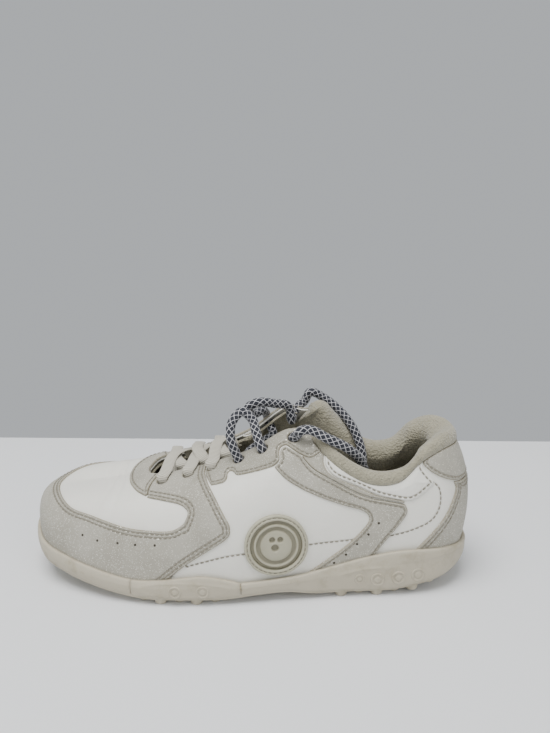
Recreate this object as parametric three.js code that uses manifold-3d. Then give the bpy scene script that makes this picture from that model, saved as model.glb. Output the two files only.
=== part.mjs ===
// A left bowling shoe, lateral side towards -Y, toe towards -X, standing on z = 0. Units are millimetres.
// Places on the shoe are given as s (distance forward from the heel), lat (distance from the middle
// towards the outer side of the foot) and z. The upper is a stack of layers over one curved surface.
import * as THREE from "three";
import { mergeVertices } from "three/addons/utils/BufferGeometryUtils.js";
import Module from "manifold-3d";

const wasm = await Module();
wasm.setup();

// Driving dimensions of the whole shoe.
const HEEL_X = 139.96; // x of s = 0
const MIDDLE_Y = 1.29; // y of lat = 0
const GAP = 0.3;
const TOUCH = 0.4;
const RIDGE_LAT = -6; // the instep ridge and the throat lie a little to the inner side
const STUD_HEIGHT = 3.6;
const STUD_PITCH = 10.6;
const STUD_RADIUS = 4;
const STUD_INSET = 1.2; // from the feather line to the middle of an outermost stud
const STUD_SETBACK = 6; // how much further in the rows lie that aren't at the edge
const EDGE_ROWS = [[24, 88], [150, 205]]; // lengths of the sole whose rows reach the edge
const PLATE_THICKNESS = 2.2;

// Layer depths, measured outwards from the surface.
const OVERLAY = [0.3, 1.3];
const BASE = [-1.2, 0];
const STIFFENER = [-2.4, -1.9];
const LINING = [-4.6, -3.2];

const place = (s, lat, z) => new THREE.Vector3(HEEL_X - s, MIDDLE_Y - lat, z);

// ---- The surface: ribs that rise from the feather line to the collar edge or to the instep ridge. ----
// Each row is one station: feather s, outer lat, inner lat, z; top s, y of its middle, half gap, z;
// lean of the rib's foot, roof angle at its top, fullness low and high; then for the inner side only:
// roof angle, fullness low, and how much higher its top stands.
const STATIONS = [
  [4, 0, 0, 24, 11, 0, 0, 90, 102, 62, 0.42, 0.35, 62, 0.42, 0],
  [8, 16, 15.5, 24, 14, 0, 12, 91, 101, 66, 0.42, 0.35, 66, 0.42, 0],
  [20, 27.5, 26, 22.5, 22, 0, 20.5, 90, 99, 70, 0.42, 0.35, 70, 0.42, 0],
  [38, 32.5, 30, 19.5, 33, 0, 25.5, 83.5, 97, 72, 0.42, 0.35, 72, 0.42, 0],
  [54, 34.5, 31, 17, 45, 0, 27.5, 71.5, 95, 68, 0.48, 0.35, 68, 0.48, 0],
  [70, 36, 31, 14.5, 62, 0, 28, 70.5, 94, 65, 0.5, 0.35, 65, 0.5, 1],
  [88, 38.2, 30.5, 12.5, 80, 1, 25.5, 79.5, 95, 62, 0.55, 0.33, 64, 0.56, 7],
  [104, 41, 31, 11.5, 94, 3, 18, 91, 96, 50, 0.6, 0.3, 62, 0.62, 11],
  [118, 43.3, 32.5, 11, 105, 5, 0, 102, 96, 25, 0.6, 0.3, -14, 0.7, 0],
  [142, 47, 37.5, 9.6, 132, 6, 0, 84, 94, 13, 0.66, 0.35, -9, 0.76, 0],
  [168, 49.3, 43, 8.8, 158, 6, 0, 72.5, 90, 6, 0.6, 0.4, -9, 0.76, 0],
  [194, 49, 46.5, 9.2, 184, 6, 0, 65, 86, -1, 0.52, 0.45, -9, 0.74, 0],
  [220, 44.5, 46, 11.6, 206, 6, 0, 60, 86, -1, 0.54, 0.47, -9, 0.74, 0],
  [245, 35.5, 40, 15.5, 222, 6, 0, 57, 90, 2, 0.56, 0.5, -8, 0.74, 0],
  [264, 22, 29.5, 19.5, 234, 6, 0, 54.5, 96, 5, 0.6, 0.58, -4, 0.72, 0],
  [276, -8, 8, 23, 240, 6, 0, 53.3, 100, 8, 0.64, 0.65, 8, 0.64, 0],
];
const TOE = STATIONS.length - 1;
const TURN = 2 * TOE; // the stations run up the outer side and back down the inner side
const PINCH = 8; // from this station forward both sides meet on the ridge

const RING = [];
for (let i = 0; i < TURN; i++) {
  const inner = i > TOE;
  const row = STATIONS[inner ? TURN - i : i];
  RING.push({
    footX: HEEL_X - row[0],
    footY: MIDDLE_Y + (inner ? row[2] : -row[1]),
    footZ: row[3],
    topX: HEEL_X - row[4],
    topY: MIDDLE_Y + row[5],
    halfGap: inner ? row[6] : -row[6],
    topZ: row[7] + (inner ? row[14] : 0),
    lean: row[8],
    roof: inner ? row[12] : row[9],
    low: inner ? row[13] : row[10],
    high: row[11],
  });
}

const wrap = (u) => ((u % TURN) + TURN) % TURN;
const fromHeel = (u) => Math.min(wrap(u), TURN - wrap(u));
const clamp01 = (t) => Math.min(Math.max(t, 0), 1);

function ringValue(key, u) {
  const w = wrap(u);
  const i = Math.floor(w);
  const t = w - i;
  const [a, b, c, d] = [-1, 0, 1, 2].map((k) => RING[wrap(i + k)][key]);
  const cubic = (3 * b - a - 3 * c + d) * t + (2 * a - 5 * b + 4 * c - d);
  return 0.5 * (2 * b + (c - a) * t + cubic * t * t);
}

// The point of the bare surface at station u and height fraction v.
function surfaceAt(u, v) {
  const gap = fromHeel(u) >= PINCH ? 0 : ringValue("halfGap", u);
  const foot = new THREE.Vector3(ringValue("footX", u), ringValue("footY", u), ringValue("footZ", u));
  const top = new THREE.Vector3(ringValue("topX", u), ringValue("topY", u) + gap, ringValue("topZ", u));
  const inward = top.clone().sub(foot);
  const span = inward.length();
  inward.setZ(0).normalize();
  const lean = THREE.MathUtils.degToRad(ringValue("lean", u));
  const roof = THREE.MathUtils.degToRad(ringValue("roof", u));
  const low = foot.clone().addScaledVector(inward, Math.cos(lean) * span * ringValue("low", u));
  low.z += Math.sin(lean) * span * ringValue("low", u);
  const high = top.clone().addScaledVector(inward, -Math.cos(roof) * span * ringValue("high", u));
  high.z -= Math.sin(roof) * span * ringValue("high", u);
  return new THREE.CubicBezierCurve3(foot, low, high, top).getPoint(v);
}

function outwardAt(u, v) {
  const step = 0.01;
  const along = surfaceAt(u + step, v).sub(surfaceAt(u - step, v));
  const up = surfaceAt(u, Math.min(v + step, 1)).sub(surfaceAt(u, Math.max(v - step, 0)));
  return up.cross(along).normalize();
}

// The surface moved outwards by depth. On the ridge both sides share one normal, so they meet.
function layerPoint(u, v, depth) {
  const outward = outwardAt(u, v);
  if (v > 0.999 && fromHeel(u) >= PINCH) outward.add(outwardAt(TURN - wrap(u), v)).normalize();
  return surfaceAt(u, v).addScaledVector(outward, depth);
}

// The place on the surface that lies over s and lat in plan.
function surfaceUnder(s, lat) {
  const target = place(s, lat, 0);
  let best = { u: 0, v: 0.7, miss: Infinity };
  const side = lat > RIDGE_LAT ? 1 : -1;
  const scan = (centreU, centreV, halfU, halfV, steps) => {
    for (let i = -steps; i <= steps; i++) {
      for (let j = -steps; j <= steps; j++) {
        const u = centreU + (halfU * i) / steps;
        const v = clamp01(centreV + (halfV * j) / steps);
        const point = surfaceAt(side * u, v);
        const miss = Math.hypot(point.x - target.x, point.y - target.y);
        if (miss < best.miss) best = { u, v, miss };
      }
    }
  };
  scan(10, 0.81, 5, 0.19, 24);
  for (const zoom of [0.1, 0.02, 0.004]) scan(best.u, best.v, 5 * zoom, 0.19 * zoom, 6);
  return [side * best.u, best.v];
}

const overSurface = (s, lat, depth) => layerPoint(...surfaceUnder(s, lat), depth);

// ---- Solids ----
function signedVolume(points, faces) {
  let six = 0;
  for (const [a, b, c] of faces) six += points[a].dot(points[b].clone().cross(points[c]));
  return six / 6;
}

// One closed solid from points and faces; equal points are merged and the faces are turned outwards.
function closedSolid(points, faces) {
  const keys = new Map();
  const kept = [];
  const index = points.map((p) => {
    const key = [p.x, p.y, p.z].map((n) => Math.round(n * 500)).join();
    if (!keys.has(key)) {
      keys.set(key, kept.length);
      kept.push(p);
    }
    return keys.get(key);
  });
  const merged = faces.map((face) => face.map((i) => index[i]));
  const whole = merged.filter(([a, b, c]) => a !== b && b !== c && a !== c);
  const flip = signedVolume(kept, whole) < 0;
  const triVerts = new Uint32Array(whole.flatMap(([a, b, c]) => (flip ? [a, c, b] : [a, b, c])));
  const vertProperties = new Float32Array(kept.flatMap((p) => [p.x, p.y, p.z]));
  return new wasm.Manifold(new wasm.Mesh({ numProp: 3, vertProperties, triVerts }));
}

const quad = (a, b, c, d) => [[a, b, c], [a, c, d]];

// A solid through a row of rings that all have the same number of points. A closing cap joins point k to
// its partner on the other side of the ring, or fans out from the first point.
function loft(rings, fanCaps = false) {
  const count = rings[0].length;
  const faces = [];
  for (let i = 0; i < rings.length - 1; i++) {
    for (let k = 0; k < count; k++) {
      const [a, b] = [i * count + k, i * count + ((k + 1) % count)];
      faces.push(...quad(a, b, b + count, a + count));
    }
  }
  const end = (rings.length - 1) * count;
  const cap = [];
  for (let k = 1; fanCaps && k < count - 1; k++) cap.push([0, k, k + 1]);
  for (let k = 0; !fanCaps && k < count / 2 - 1; k++) {
    cap.push(...quad(k, k + 1, count - 2 - k, count - 1 - k));
  }
  for (const [a, b, c] of cap) faces.push([a, c, b], [end + a, end + b, end + c]);
  return closedSolid(rings.flat(), faces);
}

// Stations at which a piece is sampled: every half station at the heel and toe, every whole one between.
function columnsBetween(from, to) {
  const columns = [from];
  for (let u = Math.ceil(from * 2) / 2; u < to; u += 0.5) {
    const curved = fromHeel(u) < 3 || fromHeel(u) > TOE - 3;
    if (u > from + 0.1 && u < to - 0.1 && (curved || Number.isInteger(u))) columns.push(u);
  }
  return [...columns, to];
}

// A layer of the upper between two depths and between two height fractions, from one station to another.
function patch({ from, to, low, high, depths, rows }) {
  const rings = [];
  for (const u of columnsBetween(from, to)) {
    const ring = [];
    for (let j = 0; j <= rows; j++) {
      const v = low(u) + ((high(u) - low(u)) * j) / rows;
      ring.push(layerPoint(u, v, depths[1]));
    }
    for (let j = rows; j >= 0; j--) {
      const v = low(u) + ((high(u) - low(u)) * j) / rows;
      ring.push(layerPoint(u, v, depths[0]));
    }
    rings.push(ring);
  }
  return loft(rings);
}

// The same, all the way round the shoe; over the vamp its two sides join on the ridge.
function wholeLayer(depths, high, rows = 6) {
  const points = [];
  const faces = [];
  const stations = columnsBetween(0, TURN).slice(0, -1);
  const columns = stations.length;
  const at = (i, j, skin) => ((i % columns) * (rows + 1) + j) * 2 + skin;
  for (let i = 0; i < columns; i++) {
    for (let j = 0; j <= rows; j++) {
      const u = stations[i];
      const v = (high(u) * j) / rows;
      points.push(layerPoint(u, v, depths[0]), layerPoint(u, v, depths[1]));
    }
  }
  for (let i = 0; i < columns; i++) {
    for (let j = 0; j < rows; j++) {
      faces.push(...quad(at(i, j, 1), at(i, j + 1, 1), at(i + 1, j + 1, 1), at(i + 1, j, 1)));
      faces.push(...quad(at(i, j, 0), at(i + 1, j, 0), at(i + 1, j + 1, 0), at(i, j + 1, 0)));
    }
    faces.push(...quad(at(i, 0, 0), at(i, 0, 1), at(i + 1, 0, 1), at(i + 1, 0, 0)));
    const open = fromHeel(stations[i]) < PINCH || fromHeel(stations[(i + 1) % columns]) < PINCH;
    if (open) faces.push(...quad(at(i, rows, 0), at(i + 1, rows, 0), at(i + 1, rows, 1), at(i, rows, 1)));
  }
  return closedSolid(points, faces);
}

// An outline is a list of runs: two points make a straight edge, more make a smooth one.
function outlineShape(runs) {
  const shape = new THREE.Shape();
  shape.moveTo(...runs[0][0]);
  for (const run of runs) {
    if (run.length === 2) shape.lineTo(...run[1]);
    else shape.splineThru(run.slice(1).map(([a, b]) => new THREE.Vector2(a, b)));
  }
  return shape;
}

// The closed solid of a three.js geometry, with each of its points moved by map.
function solidOf(geometry, map = (point) => point) {
  geometry.deleteAttribute("normal");
  geometry.deleteAttribute("uv");
  const merged = mergeVertices(geometry, 1e-3);
  const position = merged.getAttribute("position");
  const points = [];
  for (let i = 0; i < position.count; i++) {
    points.push(map(new THREE.Vector3().fromBufferAttribute(position, i)));
  }
  const faces = [];
  for (let i = 0; i < merged.index.count; i += 3) {
    faces.push([0, 1, 2].map((corner) => merged.index.getX(i + corner)));
  }
  return closedSolid(points, faces);
}

function prism(runs, depth, map, curveSegments = 3) {
  const settings = { depth, bevelEnabled: false, curveSegments };
  const geometry = new THREE.ExtrudeGeometry(outlineShape(runs), settings);
  return solidOf(geometry, ({ x, y, z }) => map(x, y, z));
}

const CUT_DEPTH = 80;
const PLAN_CUT_HEIGHT = 150;
const PEG_LENGTH = 20;
// Outlines in the side view (s, z) cut one side of the shoe, and outlines in plan (s, lat) cut through z.
const sideCut = (runs, side) => prism(runs, CUT_DEPTH, (s, z, t) => place(s, side * (t + GAP / 2), z));
const bothSides = (runs) => prism(runs, 2 * CUT_DEPTH, (s, z, t) => place(s, t - CUT_DEPTH, z));
const planCut = (runs, bottom = -10) =>
  prism(runs, PLAN_CUT_HEIGHT, (s, lat, t) => place(s, lat, t + bottom), 2);
const polygon = (...points) => points.map((p, i) => [p, points[(i + 1) % points.length]]);

// A peg across the surface at s and lat, which punches a lace hole.
function holePeg(s, lat, radius) {
  const [u, v] = surfaceUnder(s, lat);
  const up = new THREE.Vector3(0, 1, 0);
  const turn = new THREE.Quaternion().setFromUnitVectors(up, outwardAt(u, v));
  const centre = surfaceAt(u, v);
  const peg = new THREE.CylinderGeometry(radius, radius, PEG_LENGTH, 8);
  return solidOf(peg, (point) => point.applyQuaternion(turn).add(centre));
}

// ---- Heights along the sole ----
const curveThrough = (points) => {
  const spline = new THREE.SplineCurve(points.map(([s, z]) => new THREE.Vector2(s, z)));
  const samples = spline.getPoints(200);
  return (s) => {
    const i = samples.findIndex((p) => p.x >= s);
    if (i < 0) return samples.at(-1).y;
    if (i === 0) return samples[0].y;
    const [a, b] = [samples[i - 1], samples[i]];
    return a.y + ((b.y - a.y) * (s - a.x)) / Math.max(b.x - a.x, 1e-6);
  };
};
const plateLine = curveThrough([
  [-4, 18], [8, 14.6], [20, 10], [36, 6], [54, 3.6], [74, 3.6], [94, 3.6], [112, 6], [130, 5.4],
  [149, 3.6], [170, 3.6], [192, 3.6], [214, 6], [236, 9.6], [255, 13.4], [270, 16.6], [284, 20],
]);
const plateUnder = (s) => Math.max(plateLine(s), STUD_HEIGHT);
const wrapTopRear = curveThrough([
  [-4, 22.5], [6, 25.6], [16, 28], [30, 29], [47, 28.4], [65, 25.2], [85, 20.4], [108, 15.8], [142, 13],
]);
const wrapTopFront = curveThrough([
  [138, 13.2], [149, 16.4], [160, 18.1], [169, 17.4], [178, 16.2], [188, 15], [203, 14.6],
  [225, 18], [252, 23.4], [266, 26.6], [284, 29],
]);
const footS = (u) => HEEL_X - ringValue("footX", u);

// The feather line moved outwards in plan.
function featherPoint(u, outset, z) {
  const step = 0.02;
  const before = surfaceAt(u - step, 0);
  const after = surfaceAt(u + step, 0);
  const along = after.sub(before);
  const outward = new THREE.Vector3(-along.y, along.x, 0).normalize().negate();
  const point = surfaceAt(u, 0).addScaledVector(outward, -outset);
  return point.setZ(z);
}

// A flat layer that fills the feather line, made of strips from the outer to the inner side.
function plate(outset, bottom, top) {
  const rings = [];
  for (const u of columnsBetween(0, TOE)) {
    rings.push([
      featherPoint(u, outset, bottom(u)),
      featherPoint(-u, outset, bottom(u)),
      featherPoint(-u, outset, top(u)),
      featherPoint(u, outset, top(u)),
    ]);
  }
  return loft(rings);
}

// The height fraction at which the surface reaches height z.
function fractionAt(u, z) {
  let [low, high] = [0, 0.5];
  for (let i = 0; i < 24; i++) {
    const middle = (low + high) / 2;
    if (surfaceAt(u, middle).z < z) low = middle;
    else high = middle;
  }
  return low;
}

// A length of rubber sidewall; its top edge follows the given line.
function sidewall(from, to, topLine) {
  const rings = [];
  for (const u of columnsBetween(from, to)) {
    const s = footS(u);
    const v = fractionAt(u, topLine(s));
    const bottom = plateUnder(s) + PLATE_THICKNESS + TOUCH;
    rings.push([
      featherPoint(u, 2, bottom),
      featherPoint(u, 3.6, bottom),
      layerPoint(u, v * 0.35, 4.1),
      layerPoint(u, v * 0.85, 3.6),
      layerPoint(u, v, 2.9),
      layerPoint(u, v, 2),
      layerPoint(u, v * 0.5, 2),
      layerPoint(u, 0, 2),
    ]);
  }
  return loft(rings);
}

// ---- The shoe ----
const shoe = new THREE.Group();
const FINISH = {
  whiteLeather: [0xe9e7e1, 0.42],
  pearlSuede: [0xc9c6bd, 0.75],
  greyLeather: [0xc4c1b8, 0.6],
  fleece: [0xb9b29f, 0.95],
  rubber: [0xcfc6b8, 0.65],
  badgeRubber: [0xbdbba6, 0.6],
  foam: [0xd9c98f, 0.9],
  board: [0xa58a66, 0.85],
  steel: [0x8d9196, 0.35],
  cotton: [0xc9c4b6, 0.9],
  rope: [0x3a3c48, 0.85],
  plastic: [0x1c1d22, 0.4],
};

// A cut can leave slivers beside the piece, so a node keeps its largest body.
const largest = (solid) => solid.decompose().reduce((a, b) => (b.volume() > a.volume() ? b : a));

function addNode(name, solid, finish, parent = shoe) {
  const { numProp, vertProperties, triVerts } = largest(solid).getMesh();
  const position = new Float32Array((vertProperties.length / numProp) * 3);
  for (let i = 0; i < position.length / 3; i++) {
    position.set(vertProperties.subarray(i * numProp, i * numProp + 3), i * 3);
  }
  const geometry = new THREE.BufferGeometry();
  geometry.setAttribute("position", new THREE.BufferAttribute(position, 3));
  geometry.setIndex(new THREE.BufferAttribute(triVerts, 1));
  const [color, roughness] = FINISH[finish];
  const metalness = finish === "steel" ? 1 : 0;
  const mesh = new THREE.Mesh(geometry, new THREE.MeshStandardMaterial({ color, roughness, metalness }));
  mesh.name = name;
  parent.add(mesh);
}

// Sole: a studded plate, the midsole core with its steel shank, and the sidewall in four lengths.
const coreBottom = (u) => plateUnder(footS(u)) + PLATE_THICKNESS + TOUCH;
const coreTop = (u) => ringValue("footZ", u) - 0.7;

function stud(s, lat) {
  const root = 1; // how far the stud reaches up into the plate
  const cone = new THREE.CylinderGeometry(STUD_RADIUS, STUD_RADIUS * 0.8, STUD_HEIGHT + root, 5);
  const centre = place(s, lat, plateUnder(s) + (root - STUD_HEIGHT) / 2);
  return solidOf(cone.rotateX(Math.PI / 2), (point) => point.add(centre));
}

// Rows of studs spread over the width, out to the edge and a little short of it by turns. The arch
// between heel and ball has none.
function studPlaces() {
  const places = [];
  for (let row = 0; row * STUD_PITCH < 250; row++) {
    const s = 16 + row * STUD_PITCH;
    if (s > 104 && s < 136) continue;
    const u = stationAt(s);
    const setback = EDGE_ROWS.some(([from, to]) => s > from && s < to) ? 0 : STUD_SETBACK;
    const inset = STUD_INSET + setback + (row % 2) * STUD_PITCH * 0.25;
    const outer = MIDDLE_Y - ringValue("footY", u) - inset;
    const inner = MIDDLE_Y - ringValue("footY", -u) + inset;
    const gaps = Math.round((outer - inner) / STUD_PITCH);
    for (let k = 0; k <= gaps; k++) places.push([s, THREE.MathUtils.lerp(inner, outer, k / gaps)]);
  }
  return places;
}

function stationAt(s) {
  let u = 0;
  while (u < TOE && footS(u) < s) u += 0.05;
  return u;
}

let outsole = plate(3, (u) => plateUnder(footS(u)), (u) => plateUnder(footS(u)) + PLATE_THICKNESS);
for (const [s, lat] of studPlaces()) outsole = outsole.add(stud(s, lat));
addNode("outsole", outsole, "rubber");

const SHANK = { from: 46, to: 112, half: 6, thick: 1.2 };
const shankZ = (s) => plateUnder(s) + PLATE_THICKNESS + 0.8;
function shankBar(extra) {
  const rings = [];
  const pieces = 6;
  for (let i = 0; i <= pieces; i++) {
    const s = THREE.MathUtils.lerp(SHANK.from - extra, SHANK.to + extra, i / pieces);
    const z = shankZ(s);
    const wide = SHANK.half + extra;
    const [under, over] = [z - extra, z + SHANK.thick + extra];
    rings.push([place(s, wide, under), place(s, -wide, under), place(s, -wide, over), place(s, wide, over)]);
  }
  return loft(rings);
}
addNode("midsole_core", plate(1.2, coreBottom, coreTop).subtract(shankBar(GAP)), "foam");
addNode("shank", shankBar(0), "steel");

const NOTCH = 8.86; // station of the step between the rear and forefoot sidewalls
const SLIT = 11.32; // station where the toe bumper starts
const SEAM = 0.03;
addNode("sidewall_rear", sidewall(-NOTCH + SEAM, NOTCH - SEAM, wrapTopRear), "rubber");
addNode("sidewall_lateral", sidewall(NOTCH + SEAM, SLIT - SEAM, wrapTopFront), "rubber");
addNode("sidewall_medial", sidewall(TURN - SLIT + SEAM, TURN - NOTCH - SEAM, wrapTopFront), "rubber");
addNode("toe_bumper", sidewall(SLIT + SEAM, TURN - SLIT - SEAM, wrapTopFront), "rubber");

const boardTop = (u) => ringValue("footZ", u) + 1.7;
addNode("insole_board", plate(-5, (u) => ringValue("footZ", u) + 0.1, boardTop), "board");
addNode("footbed", plate(-5.8, (u) => boardTop(u) + GAP, (u) => boardTop(u) + 4), "fleece");

// Cuts that several layers share.
const throat = planCut([
  [[60, 4], [96, 9]],
  [[96, 9], [108, 9.5], [126, 9.8], [141, 8.5], [158, 7.5], [173, 8], [189, 8.5], [199, 5], [203, -6]],
  [[203, -6], [199, -17], [189, -20.5], [173, -20], [158, -19.5], [141, -20.5], [126, -21.8], [96, -21]],
  [[96, -21], [60, -16]],
  [[60, -16], [60, 4]],
]);
const LACE_HOLES = [[189, 17], [173, 15.3], [158.5, 14]];
const ROPE_HOLES = [[141, 15.5], [126, 17], [108, 15.5]];
const mirrored = (lat) => 2 * RIDGE_LAT - lat;
const FLAT_HOLE = 4.2;
const ROPE_HOLE = 4.4;
let holes = holePeg(...LACE_HOLES[0], FLAT_HOLE);
for (const [s, lat] of LACE_HOLES) {
  for (const y of [lat, mirrored(lat)]) holes = holes.add(holePeg(s, y, FLAT_HOLE));
}
const innerRopeHoles = [[141, -27.5], [126, -28.5], [108, -24]];
for (const [s, lat] of [...ROPE_HOLES, ...innerRopeHoles]) holes = holes.add(holePeg(s, lat, ROPE_HOLE));
const opened = (solid) => solid.subtract(throat).subtract(holes);

const vampSeam = [[176, 130], [162, 70], [155, 56], [152, 44], [160, 34], [178, 18], [190, -10]];
const chain = (...points) => polygon(...points).slice(0, -1);
const rearPart = bothSides([vampSeam, ...chain([190, -10], [-30, -10], [-30, 130], [176, 130])]);
const frontSeam = vampSeam.map(([s, z]) => [s + TOUCH, z]);
const frontEdge = chain([190 + TOUCH, -10], [320, -10], [320, 130], [176 + TOUCH, 130]);
const frontPart = bothSides([frontSeam, ...frontEdge]);
const sideView = polygon([-30, -10], [320, -10], [320, 130], [-30, 130]);
const outerHalf = sideCut(sideView, 1);
const innerHalf = sideCut(sideView, -1);

// Upper: base leather, stiffeners and linings.
// A layer's top edge: a fixed fraction round the collar, rising to the ridge ahead of it.
const topEdge = (fraction) => (u) => fraction + (1 - fraction) * clamp01(fromHeel(u) - 7);
const edgeFraction = topEdge(0.94);
const liningSplit = topEdge(0.6);
const base = wholeLayer(BASE, edgeFraction);
addNode("vamp", opened(base.intersect(frontPart)), "whiteLeather");
addNode("quarter_lateral", opened(base.intersect(rearPart).intersect(outerHalf)), "whiteLeather");
addNode("quarter_medial", opened(base.intersect(rearPart).intersect(innerHalf)), "whiteLeather");

const constant = (value) => () => value;
const stiffener = { low: constant(0), depths: STIFFENER };
addNode("heel_counter", patch({ from: -4, to: 4, high: constant(0.4275), rows: 3, ...stiffener }), "board");
addNode("toe_puff", patch({ from: 12, to: 18, high: constant(4 / 6), rows: 4, ...stiffener }), "board");

addNode("vamp_lining", opened(wholeLayer(LINING, edgeFraction).intersect(frontPart)), "fleece");
const rearLining = wholeLayer(LINING, topEdge(0.57), 4).intersect(rearPart);
addNode("quarter_lining", opened(rearLining), "fleece");

const COLLAR_END = 7;
const ROLL = { low: 0.958, outer: 0.9, inner: -5.8, face: -7.8 };
// The padded collar lining stands inside the foam and rolls over its top edge.
function collarRing(u) {
  const low = liningSplit(u) + 0.02;
  const middle = (low + ROLL.low) / 2;
  const corners = [
    [ROLL.low, ROLL.inner], [ROLL.low, ROLL.outer], [1, ROLL.outer], [1, ROLL.face], [ROLL.low, ROLL.face],
    [middle, ROLL.face], [low, ROLL.face], [low, ROLL.inner], [middle, ROLL.inner],
  ];
  return corners.map(([v, depth]) => layerPoint(u, v, depth));
}
const collarRings = columnsBetween(-COLLAR_END, COLLAR_END).map(collarRing);
addNode("collar_lining", opened(loft(collarRings, true)), "fleece");
const FOAM = { from: -6.8, to: 6.8, depths: [-5, -2.3], rows: 3 };
const foam = patch({ low: (u) => liningSplit(u) + 0.03, high: constant(0.945), ...FOAM });
addNode("collar_foam", opened(foam), "foam");

// Overlays, cut from one layer over the base leather.
const overlay = wholeLayer(OVERLAY, edgeFraction);
const saddleLine = [
  [[176, 130], [162.3, 68]],
  [
    [162.3, 68], [153.8, 61], [146.9, 51.8], [144, 46.5], [145.4, 40.4], [157.1, 32.4], [170.8, 23.4],
    [187, 10],
  ],
  [[187, 10], [198, -10]],
];
const windowOuter = [
  [171.1, 41.9], [169.4, 38.6], [175.1, 34.7], [187.4, 30.6], [197, 27.3], [204.9, 21.9], [212, 11],
  [216, -6],
];
const windowInner = [
  [216, -6], [213, -17], [206, -26], [197, -31], [186, -33.5], [175.1, -36.5], [170.4, -40], [172.5, -43],
];
const windowFront = [
  [172.5, -43], [184, -43.5], [203, -41.5], [224, -36.5], [244, -29], [258, -20.5], [264, -7],
  [257.4, 10.3], [246.6, 23.8], [228.9, 31.9], [209.2, 38.4], [190.4, 41.7], [178, 42.9], [171.1, 41.9],
];
const windowCut = planCut([windowOuter, windowInner, windowFront]);
const apronRear = [
  [[196.4, 27.2], [196, 19], [191.5, 5]],
  [[191.5, 5], [191.5, -17]],
  [[191.5, -17], [196, -27], [197, -30.6]],
];
const apronFront = [
  [197, -30.6], [206, -25.6], [212.6, -17], [215.6, -6], [211.6, 11], [204.6, 21.6], [196.4, 27.2],
];
const apronCut = planCut([...apronRear, apronFront]);
const apronRearGap = apronRear.map((run) => run.map(([s, lat]) => [s - 0.4, lat]));
const apronRoom = planCut([
  ...apronRearGap, [[196.6, -30.6], [200, -36]], [[200, -36], [225, -20]], [[225, -20], [225, 20]],
  [[225, 20], [200, 32]], [[200, 32], [196, 27.2]],
]);
const saddlePart = bothSides([...saddleLine, ...chain([198, -10], [320, -10], [320, 130], [176, 130])]);
const mudguard = overlay.intersect(saddlePart).subtract(windowCut).subtract(apronRoom);
addNode("mudguard", opened(mudguard), "pearlSuede");
addNode("apron", opened(overlay.intersect(apronCut)), "pearlSuede");

const eyestayRuns = [
  [[175.5, 130], [161.8, 68]],
  [[161.8, 68], [156.6, 65]],
  [[156.6, 65], [148.3, 67.6], [146.8, 71.2], [143.9, 71.9], [140.5, 71.2], [130.4, 74.2], [119.4, 78]],
  [
    [119.4, 78], [116, 80.8], [115.9, 85.6], [112.5, 87.5], [108.3, 85.6], [102.9, 82.6], [97, 81.2],
    [90, 85],
  ],
  [[90, 85], [84, 130]],
  [[84, 130], [175.5, 130]],
];
const stripeRuns = [
  [[102.9, 82.1], [97, 80.7], [89.9, 84.3]],
  [[89.9, 84.3], [89.4, 77], [83.9, 71.3], [70.3, 66], [56.7, 60.4], [43.2, 58]],
  [[43.2, 58], [42.8, 56.8]],
  [[42.8, 56.8], [65.3, 60.9], [82.1, 68.4], [96, 75.6], [102.9, 82.1]],
];
const chevronRuns = [
  [[118.6, 77.6], [112.3, 72], [102.9, 66.2], [89, 59.8], [75.5, 55.2]],
  [[75.5, 55.2], [66.9, 52.5], [63.5, 49], [65.2, 44], [75.3, 33.5], [89.2, 23.1], [103, 14]],
  [[103, 14], [112, -10]],
  [[112, -10], [75, -10]],
  [[75, -10], [63.2, 20.8]],
  [[63.2, 20.8], [56.3, 30.9], [46.3, 43.6], [41.3, 51.5], [42.6, 56.2]],
  [[42.6, 56.2], [65.4, 60.4], [82.2, 67.9], [96.2, 75.1], [103.6, 82.4]],
  [[103.6, 82.4], [108.3, 85], [112.5, 86.9], [115.4, 85.1], [115.5, 80.6], [118.6, 77.6]],
];
const panelRuns = [
  [[89.2, 130], [88.8, 77.4]],
  [[88.8, 77.4], [83.6, 71.9], [70.2, 66.6], [56.5, 61], [43, 58.6], [36, 60.3], [29.5, 65.3]],
  [[29.5, 65.3], [26.3, 69], [29.6, 73.4], [32.6, 77.5], [32.4, 82]],
  [[32.4, 82], [33, 130]],
  [[33, 130], [89.2, 130]],
];
const tabRuns = [
  [[32.4, 130], [31.9, 82]],
  [[31.9, 82], [31.6, 78.4], [25, 73.2], [15, 68.4], [6, 66.6], [-10, 66.2]],
  [[-10, 66.2], [-10, 130]],
  [[-10, 130], [32.4, 130]],
];
const heelRuns = [
  [[13.6, 67.2], [12.2, 63], [13.5, 58.6], [18.5, 48.5], [27.1, 37.6], [35.4, 28.4], [43, 20]],
  [[43, 20], [60, -10]],
  [[60, -10], [-10, -10]],
  [[-10, -10], [-10, 65.7]],
  [[-10, 65.7], [6, 66.1], [13.6, 67.2]],
];
addNode("heel_overlay", overlay.intersect(bothSides(heelRuns)), "pearlSuede");
addNode("heel_tab", overlay.intersect(bothSides(tabRuns)), "pearlSuede");

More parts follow.
